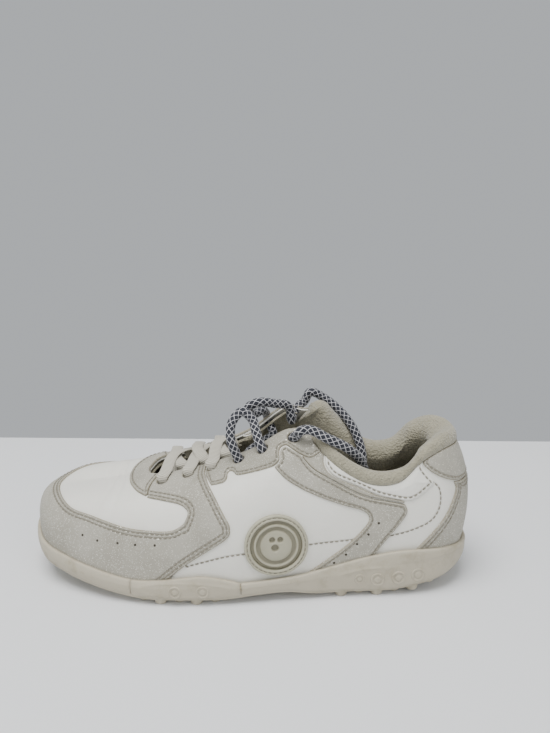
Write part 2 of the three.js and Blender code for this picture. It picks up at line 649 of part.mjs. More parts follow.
const BADGE = { s: 117.5, z: 35.2, radius: 18.3, ring: 3.4 };
function badgeCut(radius, side) {
  const count = 24;
  const rim = [];
  for (let k = 0; k < count; k++) {
    const angle = (2 * Math.PI * k) / count;
    rim.push([BADGE.s + radius * Math.cos(angle), BADGE.z + radius * Math.sin(angle)]);
  }
  return sideCut(polygon(...rim), side);
}
const badgeRingLayer = wholeLayer([0.3, 2.6], edgeFraction);
const badgeDiscLayer = wholeLayer([0.3, 1.7], edgeFraction);
for (const [name, side] of [["lateral", 1], ["medial", -1]]) {
  addNode("eyestay_" + name, opened(overlay.intersect(sideCut(eyestayRuns, side))), "greyLeather");
  addNode("stripe_" + name, overlay.intersect(sideCut(stripeRuns, side)), "pearlSuede");
  addNode("chevron_" + name, overlay.intersect(sideCut(chevronRuns, side)), "pearlSuede");
  addNode("collar_panel_" + name, overlay.intersect(sideCut(panelRuns, side)), "whiteLeather");
  const inside = BADGE.radius - BADGE.ring;
  const ring = badgeRingLayer.intersect(badgeCut(BADGE.radius, side)).subtract(badgeCut(inside, side));
  addNode("badge_ring_" + name, ring, "badgeRubber");
  addNode("badge_disc_" + name, badgeDiscLayer.intersect(badgeCut(inside - GAP, side)), "badgeRubber");
}

// Tongue: two layers sewn in at the front of the throat, hinged there and resting below the laces.
const TONGUE_HINGE = place(194, RIDGE_LAT, 53);
const TONGUE_DROP = 8; // degrees below the surface at rest, which leaves room for the laces
const tongueCut = planCut([
  [[196, 5], [160, 10], [114, 10]],
  [[114, 10], [110, 5], [109, -5], [110, -15], [114, -20]],
  [[114, -20], [160, -20], [196, -17]],
  [[196, -17], [196, 5]],
], 40);
const tongue = new THREE.Group();
const tongueLayers = { tongue_face: [[-8.8, -7.2], "greyLeather"], tongue_lining: [[-11, -9.3], "fleece"] };
for (const [name, [depths, finish]] of Object.entries(tongueLayers)) {
  const turn = new THREE.Matrix4().makeTranslation(TONGUE_HINGE)
    .multiply(new THREE.Matrix4().makeRotationY(THREE.MathUtils.degToRad(TONGUE_DROP)))
    .multiply(new THREE.Matrix4().makeTranslation(TONGUE_HINGE.clone().negate()));
  const piece = wholeLayer(depths, edgeFraction).intersect(tongueCut).transform(turn.elements);
  addNode(name, piece, finish, tongue);
}
shoe.add(tongue);

// The flat lace: a four-sided section swept along a smooth path through hand-chosen points. Its half
// width may change from point to point, and its wide side lies along the shoe.
const smoothPath = (points) => new THREE.CatmullRomCurve3(points, false, "centripetal");
function flatSweep(points, halfWidths, halfThick, steps) {
  const curve = smoothPath(points);
  const across = new THREE.Vector3(1, 0, 0);
  const rings = [];
  for (let i = 0; i <= steps; i++) {
    const t = i / steps;
    const centre = curve.getPoint(t);
    const along = curve.getTangent(t);
    const wide = across.clone().addScaledVector(along, -across.dot(along)).normalize();
    const thick = along.clone().cross(wide);
    const reached = t * (points.length - 1);
    const before = Math.min(Math.floor(reached), points.length - 2);
    const half = THREE.MathUtils.lerp(halfWidths[before], halfWidths[before + 1], reached - before);
    const corners = [[1, 1], [-1, 1], [-1, -1], [1, -1]];
    rings.push(corners.map(([a, b]) => {
      const point = centre.clone().addScaledVector(wide, a * half);
      return point.addScaledVector(thick, b * halfThick);
    }));
  }
  return loft(rings);
}

// A round piece along a curve. The section has twice as many sides as quarters says.
function tube(curve, radius, steps, quarters) {
  const section = new THREE.Shape().absarc(0, 0, radius, 0, 2 * Math.PI);
  const settings = { steps, curveSegments: quarters, extrudePath: curve };
  return solidOf(new THREE.ExtrudeGeometry(section, settings));
}

const FLAT_HALF = 2.6;
const FLAT_HALF_THICK = 0.36;
const IN_HOLE = 1.6;
const UNDER = -6.3;
const UNDER_HALF = 2.1;
const THROAT_HALF = 14;
// One half of the flat lace: out of a hole, over the throat, under the far edge and out of the next hole.
function flatHalf(firstSide, crossingLift) {
  const points = [];
  const add = (s, out, depth, half) => points.push([s, out, depth, half]);
  let side = firstSide;
  LACE_HOLES.forEach(([s, lat], row) => {
    const reach = lat - RIDGE_LAT;
    const next = LACE_HOLES[row + 1] ?? [145, 14];
    add(s, side * (reach - 3.5), UNDER, UNDER_HALF);
    add(s, side * (reach - 0.2), -4.6, IN_HOLE);
    add(s, side * reach, 0, IN_HOLE);
    add(s - 0.3, side * (reach - 1.2), 2.9, UNDER_HALF);
    add(s - 1.5, side * (reach - 5), 3.4, FLAT_HALF);
    add((s + next[0] + 6) / 2, 0, crossingLift, FLAT_HALF);
    side = -side;
    add(next[0] + 6, side * (THROAT_HALF - 4), 2.2, FLAT_HALF);
    add(next[0] + 5, side * (THROAT_HALF - 3), -3.6, FLAT_HALF);
    add(next[0] + 3.5, side * (THROAT_HALF + 0.2), UNDER, UNDER_HALF);
  });
  return points;
}
const startBar = [189, 0, UNDER, FLAT_HALF];
const outerRoute = flatHalf(1, 7.4);
const innerRoute = flatHalf(-1, 4.9).reverse();
const flatRoute = [...innerRoute, startBar, ...outerRoute];
const flatPoints = flatRoute.map(([s, out, depth]) => overSurface(s, RIDGE_LAT + out, depth));
const flatHalfWidths = flatRoute.map((point) => point[3]);
addNode("flat_lace", flatSweep(flatPoints, flatHalfWidths, FLAT_HALF_THICK, 110), "cotton");

// The rope lace: held route from the outer top hole to the inner top hole, then two free tails.
const ROPE_RADIUS = 3;
const UNDER_ROPE = -10.4;
const [holeA, holeB, holeC] = ROPE_HOLES;
const [, innerB, innerC] = innerRopeHoles;
// The rope through one hole: a straight stretch above and below it.
const throughHole = ([s, lat]) => [overSurface(s, lat, 2.5), overSurface(s, lat, -5)];
// Where the rope leaves a top hole, leaning back towards the heel.
const ropeExit = ([s, lat]) => overSurface(s, lat, 4.2).add(new THREE.Vector3(2.5, 0, 0));
const ropeHeld = [
  ropeExit(holeC),
  overSurface(...holeC, 0),
  overSurface(...holeC, -5),
  overSurface(holeC[0] + 5, holeC[1] - 0.5, UNDER_ROPE),
  overSurface(holeB[0] - 5, holeB[1] - 0.5, UNDER_ROPE),
  ...throughHole(holeB).reverse(),
  place(130.5, 13.5, 93),
  place(133.5, 8, 100),
  place(139.5, 7, 104.5),
  place(145.5, 11, 99),
  place(146, 15.5, 89),
  ...throughHole(holeA),
  overSurface(holeA[0] - 1, holeA[1] - 5, UNDER_ROPE),
  place(138, -6, 72.5),
  overSurface(innerB[0] + 3, innerB[1] + 5, UNDER_ROPE),
  ...throughHole(innerB).reverse(),
  place(129, -17, 98),
  place(135, -8, 98),
  place(137, -3, 104),
  place(130.5, -3, 107.5),
  place(120, -9, 105),
  overSurface(innerC[0] + 4, innerC[1] + 10, 0),
  overSurface(innerC[0] + 0.5, innerC[1] + 3.5, UNDER_ROPE),
  overSurface(...innerC, -5),
  overSurface(...innerC, 0),
  ropeExit(innerC),
];
addNode("rope_lace", tube(smoothPath(ropeHeld), ROPE_RADIUS, 80, 3), "rope");

const TAIL_STEP = 6;
const AGLET_LENGTH = 14;
const AGLET_RADIUS = 2.6;
function looseTail(name, points) {
  const curve = smoothPath(points);
  const steps = Math.round(curve.getLength() / TAIL_STEP);
  addNode("rope_tail_" + name, tube(curve, ROPE_RADIUS, steps, 4), "rope");
  const end = points.at(-1);
  const along = curve.getTangent(1);
  const tip = [GAP, AGLET_LENGTH].map((distance) => end.clone().addScaledVector(along, distance));
  addNode("aglet_" + name, tube(new THREE.LineCurve3(...tip), AGLET_RADIUS, 1, 4), "plastic");
}
// A tail starts a hair past the held rope's end and goes on in its direction.
function tailStart(end, before) {
  const along = end.clone().sub(before).normalize();
  return [TOUCH, 4].map((distance) => end.clone().addScaledVector(along, distance));
}
const outerTail = [
  [98, 20.5, 97.5], [88, 22, 93], [76, 19.5, 86], [67, 13, 75], [62, 8, 58], [54, 7, 42],
  [42, 9, 34], [27, 9, 34], [21, 1, 34.5], [29, -7, 34], [42, -9, 32],
].map((point) => place(...point));
const innerTail = [
  [98, -30, 107], [89, -31, 103], [77, -26, 94], [68, -19, 82], [64, -12, 68], [66, -8, 50],
  [74, -7, 33], [86, -6, 26], [100, -4, 23], [114, -2, 22], [124, 1, 21.5],
].map((point) => place(...point));
looseTail("lateral", [...tailStart(ropeHeld[0], ropeHeld[1]), ...outerTail]);
looseTail("medial", [...tailStart(ropeHeld.at(-1), ropeHeld.at(-2)), ...innerTail]);

export default shoe;
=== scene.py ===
import math

import bpy
import numpy as np
from mathutils import Matrix, Vector


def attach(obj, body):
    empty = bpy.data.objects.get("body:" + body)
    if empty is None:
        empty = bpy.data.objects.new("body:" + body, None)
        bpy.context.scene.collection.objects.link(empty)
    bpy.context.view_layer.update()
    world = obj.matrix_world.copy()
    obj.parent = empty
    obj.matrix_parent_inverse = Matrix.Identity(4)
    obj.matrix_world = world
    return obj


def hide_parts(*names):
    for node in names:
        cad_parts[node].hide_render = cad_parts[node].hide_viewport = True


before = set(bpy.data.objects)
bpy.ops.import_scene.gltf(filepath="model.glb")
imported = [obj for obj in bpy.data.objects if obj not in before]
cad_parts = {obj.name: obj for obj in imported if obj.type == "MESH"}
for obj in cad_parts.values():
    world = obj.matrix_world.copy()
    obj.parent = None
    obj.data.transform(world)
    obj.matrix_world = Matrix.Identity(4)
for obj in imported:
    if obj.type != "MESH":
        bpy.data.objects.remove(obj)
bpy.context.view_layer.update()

# ---- The last ----
# The shoe is lasted: every layer of the upper is pulled over one foot-shaped form. The form is a ring
# of ribs that rise from the sole to the collar edge, or to the ridge of the instep ahead of it.
HEEL_X = 139.96  # millimetres, as all sizes below
MIDDLE_Y = 1.29
RIDGE_LAT = -6
# Foot of the rib: place along the shoe, outer and inner half width, height. Top of the rib: place,
# middle, half gap, height. Then its lean, roof angle and fullness, and the inner side's own values.
STATIONS = [
    (4, 0, 0, 24, 11, 0, 0, 90, 102, 62, 0.42, 0.35, 62, 0.42, 0),
    (8, 16, 15.5, 24, 14, 0, 12, 91, 101, 66, 0.42, 0.35, 66, 0.42, 0),
    (20, 27.5, 26, 22.5, 22, 0, 20.5, 90, 99, 70, 0.42, 0.35, 70, 0.42, 0),
    (38, 32.5, 30, 19.5, 33, 0, 25.5, 83.5, 97, 72, 0.42, 0.35, 72, 0.42, 0),
    (54, 34.5, 31, 17, 45, 0, 27.5, 71.5, 95, 68, 0.48, 0.35, 68, 0.48, 0),
    (70, 36, 31, 14.5, 62, 0, 28, 70.5, 94, 65, 0.5, 0.35, 65, 0.5, 1),
    (88, 38.2, 30.5, 12.5, 80, 1, 25.5, 79.5, 95, 62, 0.55, 0.33, 64, 0.56, 7),
    (104, 41, 31, 11.5, 94, 3, 18, 91, 96, 50, 0.6, 0.3, 62, 0.62, 11),
    (118, 43.3, 32.5, 11, 105, 5, 0, 102, 96, 25, 0.6, 0.3, -14, 0.7, 0),
    (142, 47, 37.5, 9.6, 132, 6, 0, 84, 94, 13, 0.66, 0.35, -9, 0.76, 0),
    (168, 49.3, 43, 8.8, 158, 6, 0, 72.5, 90, 6, 0.6, 0.4, -9, 0.76, 0),
    (194, 49, 46.5, 9.2, 184, 6, 0, 65, 86, -1, 0.52, 0.45, -9, 0.74, 0),
    (220, 44.5, 46, 11.6, 206, 6, 0, 60, 86, -1, 0.54, 0.47, -9, 0.74, 0),
    (245, 35.5, 40, 15.5, 222, 6, 0, 57, 90, 2, 0.56, 0.5, -8, 0.74, 0),
    (264, 22, 29.5, 19.5, 234, 6, 0, 54.5, 96, 5, 0.6, 0.58, -4, 0.72, 0),
    (276, -8, 8, 23, 240, 6, 0, 53.3, 100, 8, 0.64, 0.65, 8, 0.64, 0),
]
TOE = len(STATIONS) - 1
TURN = 2 * TOE
PINCH = 8  # from this station forward both sides meet on the ridge


def ribs():
    """Each measure of the ribs round the whole ring, as an array."""
    ring = {}
    for i in range(TURN):
        inner = i > TOE
        row = STATIONS[TURN - i if inner else i]
        values = {
            "foot_x": HEEL_X - row[0],
            "foot_y": MIDDLE_Y + (row[2] if inner else -row[1]),
            "foot_z": row[3],
            "top_x": HEEL_X - row[4],
            "top_y": MIDDLE_Y + row[5],
            "gap": row[6] if inner else -row[6],
            "top_z": row[7] + (row[14] if inner else 0),
            "lean": row[8],
            "roof": row[12] if inner else row[9],
            "low": row[13] if inner else row[10],
            "high": row[11],
        }
        for key, value in values.items():
            ring.setdefault(key, []).append(float(value))
    return {key: np.array(value) for key, value in ring.items()}


RIBS = ribs()


def eased(a, b, c, d, t):
    """A smooth value between b and c, with their neighbours a and d."""
    cubic = (3 * b - a - 3 * c + d) * t + (2 * a - 5 * b + 4 * c - d)
    return 0.5 * (2 * b + (c - a) * t + cubic * t * t)


def rib(key, u):
    """One measure of the ribs at station u, which may lie between two of them."""
    w = np.mod(u, TURN)
    i = np.floor(w).astype(int)
    a, b, c, d = (RIBS[key][(i + k) % TURN] for k in (-1, 0, 1, 2))
    return eased(a, b, c, d, w - i)


def from_heel(u):
    """Stations between u and the heel, whichever way is shorter."""
    w = np.mod(u, TURN)
    return np.minimum(w, TURN - w)


def unit(vectors):
    return vectors / np.maximum(np.linalg.norm(vectors, axis=-1), 1e-12)[..., None]


def surface_at(u, v):
    """The bare form at station u and height fraction v, in millimetres."""
    u, v = np.broadcast_arrays(np.asarray(u, float), np.asarray(v, float))
    gap = np.where(from_heel(u) >= PINCH, 0, rib("gap", u))
    foot = np.stack([rib("foot_x", u), rib("foot_y", u), rib("foot_z", u)], -1)
    top = np.stack([rib("top_x", u), rib("top_y", u) + gap, rib("top_z", u)], -1)
    span = np.linalg.norm(top - foot, axis=-1)
    inward = top - foot
    inward[..., 2] = 0
    inward = unit(inward)
    up = np.array([0.0, 0.0, 1.0])
    lean, roof = np.radians(rib("lean", u)), np.radians(rib("roof", u))
    rise = np.cos(lean)[..., None] * inward + np.sin(lean)[..., None] * up
    fall = np.cos(roof)[..., None] * inward + np.sin(roof)[..., None] * up
    low = foot + (span * rib("low", u))[..., None] * rise
    high = top - (span * rib("high", u))[..., None] * fall
    v = v[..., None]
    w = 1 - v
    return w**3 * foot + 3 * w * w * v * low + 3 * w * v * v * high + v**3 * top


def outward_at(u, v):
    """The direction straight out of the form."""
    step = 0.01
    along = surface_at(u + step, v) - surface_at(u - step, v)
    up = surface_at(u, np.minimum(v + step, 1)) - surface_at(u, np.maximum(v - step, 0))
    return unit(np.cross(up, along))


def layer_point(u, v, depth):
    """The form moved outwards by depth. On the ridge both sides share one normal, so they meet."""
    u, v, depth = (np.asarray(x, float) for x in np.broadcast_arrays(u, v, depth))
    outward = outward_at(u, v)
    shared = unit(outward + outward_at(TURN - np.mod(u, TURN), v))
    nearness = np.clip((v - 0.93) / 0.07, 0, 1) * (from_heel(u) >= PINCH)
    outward = unit(outward + (shared - outward) * (nearness**2)[..., None])
    return surface_at(u, v) + outward * depth[..., None]


def surface_under(s, lat):
    """The station and height fraction that lie over a place in plan."""
    side = 1 if lat > RIDGE_LAT else -1
    u0, v0, half_u, half_v = 10.0, 0.81, 5.0, 0.19
    for _ in range(5):
        us, vs = np.meshgrid(
            side * (u0 + half_u * np.linspace(-1, 1, 49)),
            np.clip(v0 + half_v * np.linspace(-1, 1, 49), 0, 1),
            indexing="ij",
        )
        points = surface_at(us, vs)
        miss = np.hypot(points[..., 0] - HEEL_X + s, points[..., 1] - MIDDLE_Y + lat)
        best = np.unravel_index(miss.argmin(), miss.shape)
        u0, v0 = side * us[best], vs[best]
        half_u, half_v = half_u / 8, half_v / 8
    return side * u0, v0


def over_surface(s, lat, depth):
    return layer_point(*surface_under(s, lat), depth)


def place(s, lat, z):
    """A point from its distance ahead of the heel, to the outer side and up."""
    return np.array([HEEL_X - s, MIDDLE_Y - lat, z], float)


# ---- Sole ----
# The sole is one rubber cup in four lengths round the shoe, with a studded plate under it. It is
# moulded, cemented to the upper at the feather line, and laps a few millimetres up its side.
MM = 0.001  # a millimetre in metres
STUD_HEIGHT = 3.6
STUD_PITCH = 10.6
STUD_INSET = 1.2
STUD_SETBACK = 6
STUD_START = 16
STUD_ROWS = 23
STUD_ROOT = 0.5
ARCH = (104, 136)  # no studs there
EDGE_ROWS = [(24, 88), (150, 205)]  # the rows there reach the edge of the sole
PLATE_THICKNESS = 2.2
PLATE_OUTSET = 3.0


def new_object(name, points, faces, material, slot, body="root", smooth=True, replaces=()):
    """A piece from points in millimetres, riding on a body of the frame."""
    points = np.asarray(points)
    fans = np.array([(f[0], f[k], f[k + 1]) for f in faces for k in range(1, len(f) - 1)])
    a, b, c = (points[fans[:, k]] for k in range(3))
    inside_out = (a * np.cross(b, c)).sum() < 0
    faces = [list(f)[::-1] if inside_out else list(f) for f in faces]
    mesh = bpy.data.meshes.new(name)
    mesh.from_pydata([tuple(p) for p in points * MM], [], faces)
    mesh.validate()
    mesh.polygons.foreach_set("use_smooth", [smooth] * len(mesh.polygons))
    mesh.materials.append(material)
    piece = bpy.data.objects.new(name, mesh)
    bpy.context.scene.collection.objects.link(piece)
    if replaces:
        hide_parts(*replaces)
    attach(piece, body)
    return piece


def loft(rings, closed_row=False):
    """Points and faces through a row of rings; closed_row joins the last ring to the first."""
    count = len(rings[0])
    points = np.concatenate(rings)
    faces = []
    rows = len(rings)
    for i in range(rows if closed_row else rows - 1):
        a, b = i * count, ((i + 1) % rows) * count
        for k in range(count):
            n = (k + 1) % count
            faces.append((a + k, a + n, b + n, b + k))
    if not closed_row:
        faces.append(tuple(range(count - 1, -1, -1)))
        faces.append(tuple(range((rows - 1) * count, rows * count)))
    return points, faces


def colour(value):
    """A linear colour from an sRGB hex value."""
    parts = [int(value[i : i + 2], 16) / 255 for i in (0, 2, 4)]
    return [p / 12.92 if p <= 0.04045 else ((p + 0.055) / 1.055) ** 2.4 for p in parts] + [1]


def add(tree, kind, inputs=None, **settings):
    """Adds a node, with its settings, and its inputs as values or links."""
    node = tree.nodes.new("ShaderNode" + kind)
    for key, value in settings.items():
        setattr(node, key, value)
    for key, value in (inputs or {}).items():
        if isinstance(value, bpy.types.NodeSocket):
            tree.links.new(value, node.inputs[key])
        else:
            node.inputs[key].default_value = value
    return node


def start_material(name):
    """A new material, its node tree, and places on the piece in metres."""
    material = bpy.data.materials.new(name)
    material.use_nodes = True
    tree = material.node_tree
    tree.nodes.clear()
    return material, tree, add(tree, "TexCoord").outputs["Object"]


def close_material(tree, inputs):
    shader = add(tree, "BsdfPrincipled", inputs)
    add(tree, "OutputMaterial", {"Surface": shader.outputs["BSDF"]})


def mixed(tree, factor, a, b):
    """Colour a where the factor is 0 and colour b where it is 1."""
    mix = add(tree, "Mix", data_type="RGBA")
    for index, value in ((0, factor), (6, a), (7, b)):
        if isinstance(value, bpy.types.NodeSocket):
            tree.links.new(value, mix.inputs[index])
        else:
            mix.inputs[index].default_value = value
    return mix.outputs[2]


def spacing(size):
    """The scale of a pattern whose cells are size millimetres wide."""
    return 1 / (size * MM)


def moulded_rubber():
    # Compression-moulded natural rubber, off-white: an even satin skin, a little dirt rubbed into it,
    # and dull patches.
    material, tree, where = start_material("moulded_rubber")
    grain = add(tree, "TexNoise", {"Vector": where, "Scale": spacing(0.8), "Detail": 2.0}).outputs["Fac"]
    stain = add(
        tree, "TexNoise", {"Vector": where, "Scale": spacing(11), "Detail": 8.0, "Roughness": 0.65}
    ).outputs["Fac"]
    worn = add(
        tree, "MapRange", {"Value": stain, "From Min": 0.5, "From Max": 0.75, "To Max": 0.7}
    ).outputs["Result"]
    tint = mixed(tree, worn, colour("B3AB98"), colour("92886F"))
    fine = add(tree, "Bump", {"Height": grain, "Strength": 0.2, "Distance": 0.15 * MM}).outputs["Normal"]
    dull = add(tree, "MapRange", {"Value": stain, "To Min": 0.5, "To Max": 0.72}).outputs["Result"]
    close_material(tree, {"Base Color": tint, "Roughness": dull, "Normal": fine, "IOR": 1.5})
    return material


RUBBER = moulded_rubber()


def smooth_line(points, steps=8):
    """A smooth line through points, as a row of short straight ones."""
    p = np.array(points, float)
    padded = np.vstack([p[:1], p, p[-1:]])
    t = (np.arange(steps) / steps)[:, None]
    parts = []
    for i in range(len(p) - 1):
        parts.append(eased(*padded[i : i + 4], t))
    return np.vstack([*parts, p[-1:]])


def height_line(points):
    line = smooth_line(points, 12)
    return lambda s: np.interp(s, line[:, 0], line[:, 1])


plate_line = height_line([
    (-4, 18), (8, 14.6), (20, 10), (36, 6), (54, 3.6), (74, 3.6), (94, 3.6), (112, 6), (130, 5.4),
    (149, 3.6), (170, 3.6), (192, 3.6), (214, 6), (236, 9.6), (255, 13.4), (270, 16.6), (284, 20),
])
wrap_top_rear = height_line([
    (-4, 22.5), (6, 25.6), (16, 28), (30, 29), (47, 28.4), (65, 25.2), (85, 20.4), (108, 15.8), (142, 13),
])
wrap_top_front = height_line([
    (138, 13.2), (149, 16.4), (160, 18.1), (169, 17.4), (178, 16.2), (188, 15), (203, 14.6),
    (225, 18), (252, 23.4), (266, 26.6), (284, 29),
])


def plate_under(s):
    """Height of the tread plate's underside; the studs fill the rest down to the floor."""
    return np.maximum(plate_line(s), STUD_HEIGHT)


def feather_point(u, outset, z):
    """The feather line moved outwards in plan, at height z."""
    along = surface_at(u + 0.02, 0) - surface_at(u - 0.02, 0)
    outward = unit(np.stack([along[..., 1], -along[..., 0], 0 * along[..., 0]], -1))
    point = surface_at(u, 0) - outward * np.asarray(outset, float)[..., None]
    point[..., 2] = z
    return point


def fraction_at(u, z):
    """The height fraction where the form reaches height z."""
    low, high = np.zeros_like(u), np.full_like(u, 0.5)
    for _ in range(24):
        middle = (low + high) / 2
        under = surface_at(u, middle)[..., 2] < z
        low, high = np.where(under, middle, low), np.where(under, high, middle)
    return low


# Raised oval panels on the cup: place along the shoe, height, half length, half height.
REAR_OVAL = (52, 13.2, 29, 6.2)
FRONT_OVAL = (171, 10.2, 27, 4.6)
RIM_HEIGHT = 0.45
RIM_WIDTH = 0.09  # as a share of the oval's reach, like the next
FIELD_SLOPE = 0.05
FIELD_HEIGHT = 0.25


def bulge(s, z, ovals):
    """How far the cup stands out over its oval panels: a rim line and a slightly raised field."""
    total = 0 * s
    for s0, z0, half_s, half_z in ovals:
        reach = np.hypot((s - s0) / half_s, (z - z0) / half_z)
        rim = np.exp(-(((reach - 1) / RIM_WIDTH) ** 2))
        field = 1 / (1 + np.exp((reach - 1) / FIELD_SLOPE))
        total = total + RIM_HEIGHT * rim + FIELD_HEIGHT * field
    return total


CUP_FOOT = [(2.4, 0), (3.2, 0), (3.8, 0.6)]  # outset in plan, height above the cup's foot
# Share of the cup's height, and how far out from the form.
CUP_FACE = [(0.1, 4.1), (0.35, 4.2), (0.65, 3.9), (0.88, 3.5), (0.98, 3.0), (1, 2.4)]
CUP_INSIDE = 1.4
CUP_LAP = 0.3  # the cup laps this far over the plate
CUP_STEP = 0.07
CUP_END_SHRINK = 0.35
BULGE_SHARE = 0.9


def sidewall(name, start, end, top_line, ovals):
    """One length of the cup, from one station to another, up to its top line."""
    u = np.linspace(start, end, max(24, int(abs(end - start) / CUP_STEP)))
    s = HEEL_X - rib("foot_x", u)
    v = fraction_at(u, top_line(s))
    bottom = plate_under(s) + PLATE_THICKNESS - CUP_LAP
    corners = [feather_point(u, np.full_like(u, outset), bottom + rise) for outset, rise in CUP_FOOT]
    corners += [layer_point(u, v * share, depth) for share, depth in CUP_FACE]
    rings = []
    for i in range(len(u)):
        face = smooth_line([c[i] for c in corners], 4)
        out = unit(np.array([face[:, 0] - rib("top_x", u[i]), face[:, 1] - MIDDLE_Y, 0 * face[:, 0]]).T)
        push = bulge(HEEL_X - face[:, 0], face[:, 2], ovals)
        shrink = CUP_END_SHRINK if i in (0, len(u) - 1) else 0
        face = face + out * (push - shrink)[:, None] * BULGE_SHARE
        inner = [layer_point(u[i], v[i], CUP_INSIDE), layer_point(u[i], 0, CUP_INSIDE)]
        rings.append(np.vstack([face, inner]))
    points, faces = loft(rings)
    faces = [f[::-1] for f in faces]
    return new_object(name + "_rubber", points, faces, RUBBER, "rubber", replaces=[name])


# The stations where two lengths of the cup meet, and half the gap between them.
NOTCH = 8.86
SLIT = 11.32
SEAM = 0.006
sidewall("sidewall_rear", -NOTCH + SEAM, NOTCH - SEAM, wrap_top_rear, [REAR_OVAL])
sidewall("sidewall_lateral", NOTCH + SEAM, SLIT - SEAM, wrap_top_front, [FRONT_OVAL])
sidewall("sidewall_medial", TURN - SLIT + SEAM, TURN - NOTCH - SEAM, wrap_top_front, [FRONT_OVAL])
sidewall("toe_bumper", SLIT + SEAM, TURN - SLIT - SEAM, wrap_top_front, [])


def turns(sides):
    """The angles of a ring's corners."""
    return np.arange(sides) * 2 * math.pi / sides


def lathe(profile, sides, centre, axis):
    """Points and faces of a turned shape: profile is (radius, height) pairs from the base up."""
    axis = unit(np.array(axis, float))
    helper = np.array([1.0, 0, 0]) if abs(axis[0]) < 0.9 else np.array([0, 1.0, 0])
    across = unit(np.cross(axis, helper))
    third = np.cross(axis, across)
    turn = turns(sides)
    rim = np.cos(turn)[:, None] * across + np.sin(turn)[:, None] * third
    rings = [centre + r * rim + h * axis for r, h in profile]
    return loft(rings)


def joined(shapes):
    """One set of points and faces from several."""
    points, faces, start = [], [], 0
    for some, those in shapes:
        points.append(some)
        faces += [tuple(i + start for i in f) for f in those]
        start += len(some)
    return np.concatenate(points), faces


def station_at(s):
    """The outer side's station at a place along the shoe."""
    us = np.linspace(0, TOE, 3001)
    return float(us[np.searchsorted(HEEL_X - rib("foot_x", us), s)])


def stud_places():
    """Rows of studs across the sole, spread evenly from edge to edge."""
    places = []
    for row in range(STUD_ROWS):
        s = STUD_START + row * STUD_PITCH
        if ARCH[0] < s < ARCH[1]:
            continue
        u = station_at(s)
        setback = 0 if any(low < s < high for low, high in EDGE_ROWS) else STUD_SETBACK
        inset = STUD_INSET + setback + (row % 2) * STUD_PITCH * 0.25
        outer = MIDDLE_Y - float(rib("foot_y", np.array(u))) - inset
        inner = MIDDLE_Y - float(rib("foot_y", np.array(-u))) + inset
        gaps = round((outer - inner) / STUD_PITCH)
        places += [(s, inner + (outer - inner) * k / gaps) for k in range(gaps + 1)]
    return places


# The tread: a plate with round studs, each with a shallow dimple in its end.
STUD_PROFILE = [
    (4.0, 0), (3.9, 1.2), (3.55, STUD_HEIGHT - 0.1), (3.1, STUD_HEIGHT + STUD_ROOT),
    (2.3, STUD_HEIGHT + STUD_ROOT), (2.0, STUD_HEIGHT), (0.4, STUD_HEIGHT - 0.2),
]
shapes = []
us = np.linspace(0.02, TOE - 0.02, 150)
s_at = HEEL_X - rib("foot_x", us)
under = plate_under(s_at)
rings = []
for i, u in enumerate(us):
    row = []
    for z in (under[i], under[i] + PLATE_THICKNESS):
        pair = [feather_point(np.array(w), np.array(PLATE_OUTSET), z) for w in (u, -u)]
        row.append(pair if z == under[i] else pair[::-1])
    rings.append(np.array([row[0][0], row[0][1], row[1][0], row[1][1]]))
shapes.append(loft(rings))
for s, lat in stud_places():
    ground = float(plate_under(s))
    shapes.append(lathe(STUD_PROFILE, 20, place(s, lat, ground + STUD_ROOT), (0, 0, -1)))
points, faces = joined(shapes)
new_object("outsole_tread", points, faces, RUBBER, "rubber", smooth=False, replaces=["outsole"])


# The ringed side studs on the oval panels: a low drum with a raised rim and a round button in it.
# The profile gives shares of the radius, and heights.
SIDE_STUD_PROFILE = [
    (1, -2.5), (1, 0.5), (0.9, 0.9), (0.75, 0.8), (0.68, 0.35), (0.5, 0.3), (0.42, 0.8), (0.25, 0.95),
]


def side_stud(s, z, radius, side):
    us = np.linspace(0.5, TOE - 1, 400) * side
    v = fraction_at(us, np.full_like(us, z))
    line = layer_point(us, np.maximum(v, 0), 4.2)
    i = int(np.abs(HEEL_X - line[:, 0] - s).argmin())
    outward = outward_at(us[i], 0.05)
    outward = unit(outward * np.array([1, 1, 0.15]))
    centre = line[i].copy()
    centre[2] = z
    profile = [(radius * share, height) for share, height in SIDE_STUD_PROFILE] + [(0.2, 0.95)]
    return lathe(profile, 28, centre - outward * 0.3, outward)


SIDES = (("lateral", 1), ("medial", -1))
SIDE_STUDS = [  # place along the shoe, height, radius
    (34, 13.5, 4.3), (46, 12.4, 4.3), (58, 11.6, 4.3), (69, 12.4, 3.2), (160, 9.6, 3.9), (176, 9.4, 3.9),
]
for label, side in SIDES:
    points, faces = joined([side_stud(s, z, radius, side) for s, z, radius in SIDE_STUDS])
    new_object("side_studs_" + label, points, faces, RUBBER, "rubber")

# ---- Panels of the upper ----
# Each panel is cut from leather, skived at its edge and sewn down over the one below it. A panel is
# the part of the form inside its outlines; its edge is rounded, and rows of stitches follow it.
COLUMNS = 600  # round the ring of ribs
ROWS = 96  # up each rib
GRID_U = np.arange(COLUMNS) * TURN / COLUMNS
GRID_V = np.linspace(0, 1, ROWS + 1)
UU, VV = np.meshgrid(GRID_U, GRID_V, indexing="ij")
FORM = surface_at(UU, VV)
ALONG = HEEL_X - FORM[..., 0]
LAT = MIDDLE_Y - FORM[..., 1]
HEIGHT = FORM[..., 2]
# One number for each grid point; on the ridge both sides share theirs.
CANON = np.arange(COLUMNS * (ROWS + 1)).reshape(COLUMNS, ROWS + 1)
for i in range(COLUMNS):
    if from_heel(GRID_U[i]) >= PINCH:
        CANON[i, ROWS] = min(CANON[i, ROWS], CANON[-i % COLUMNS, ROWS])

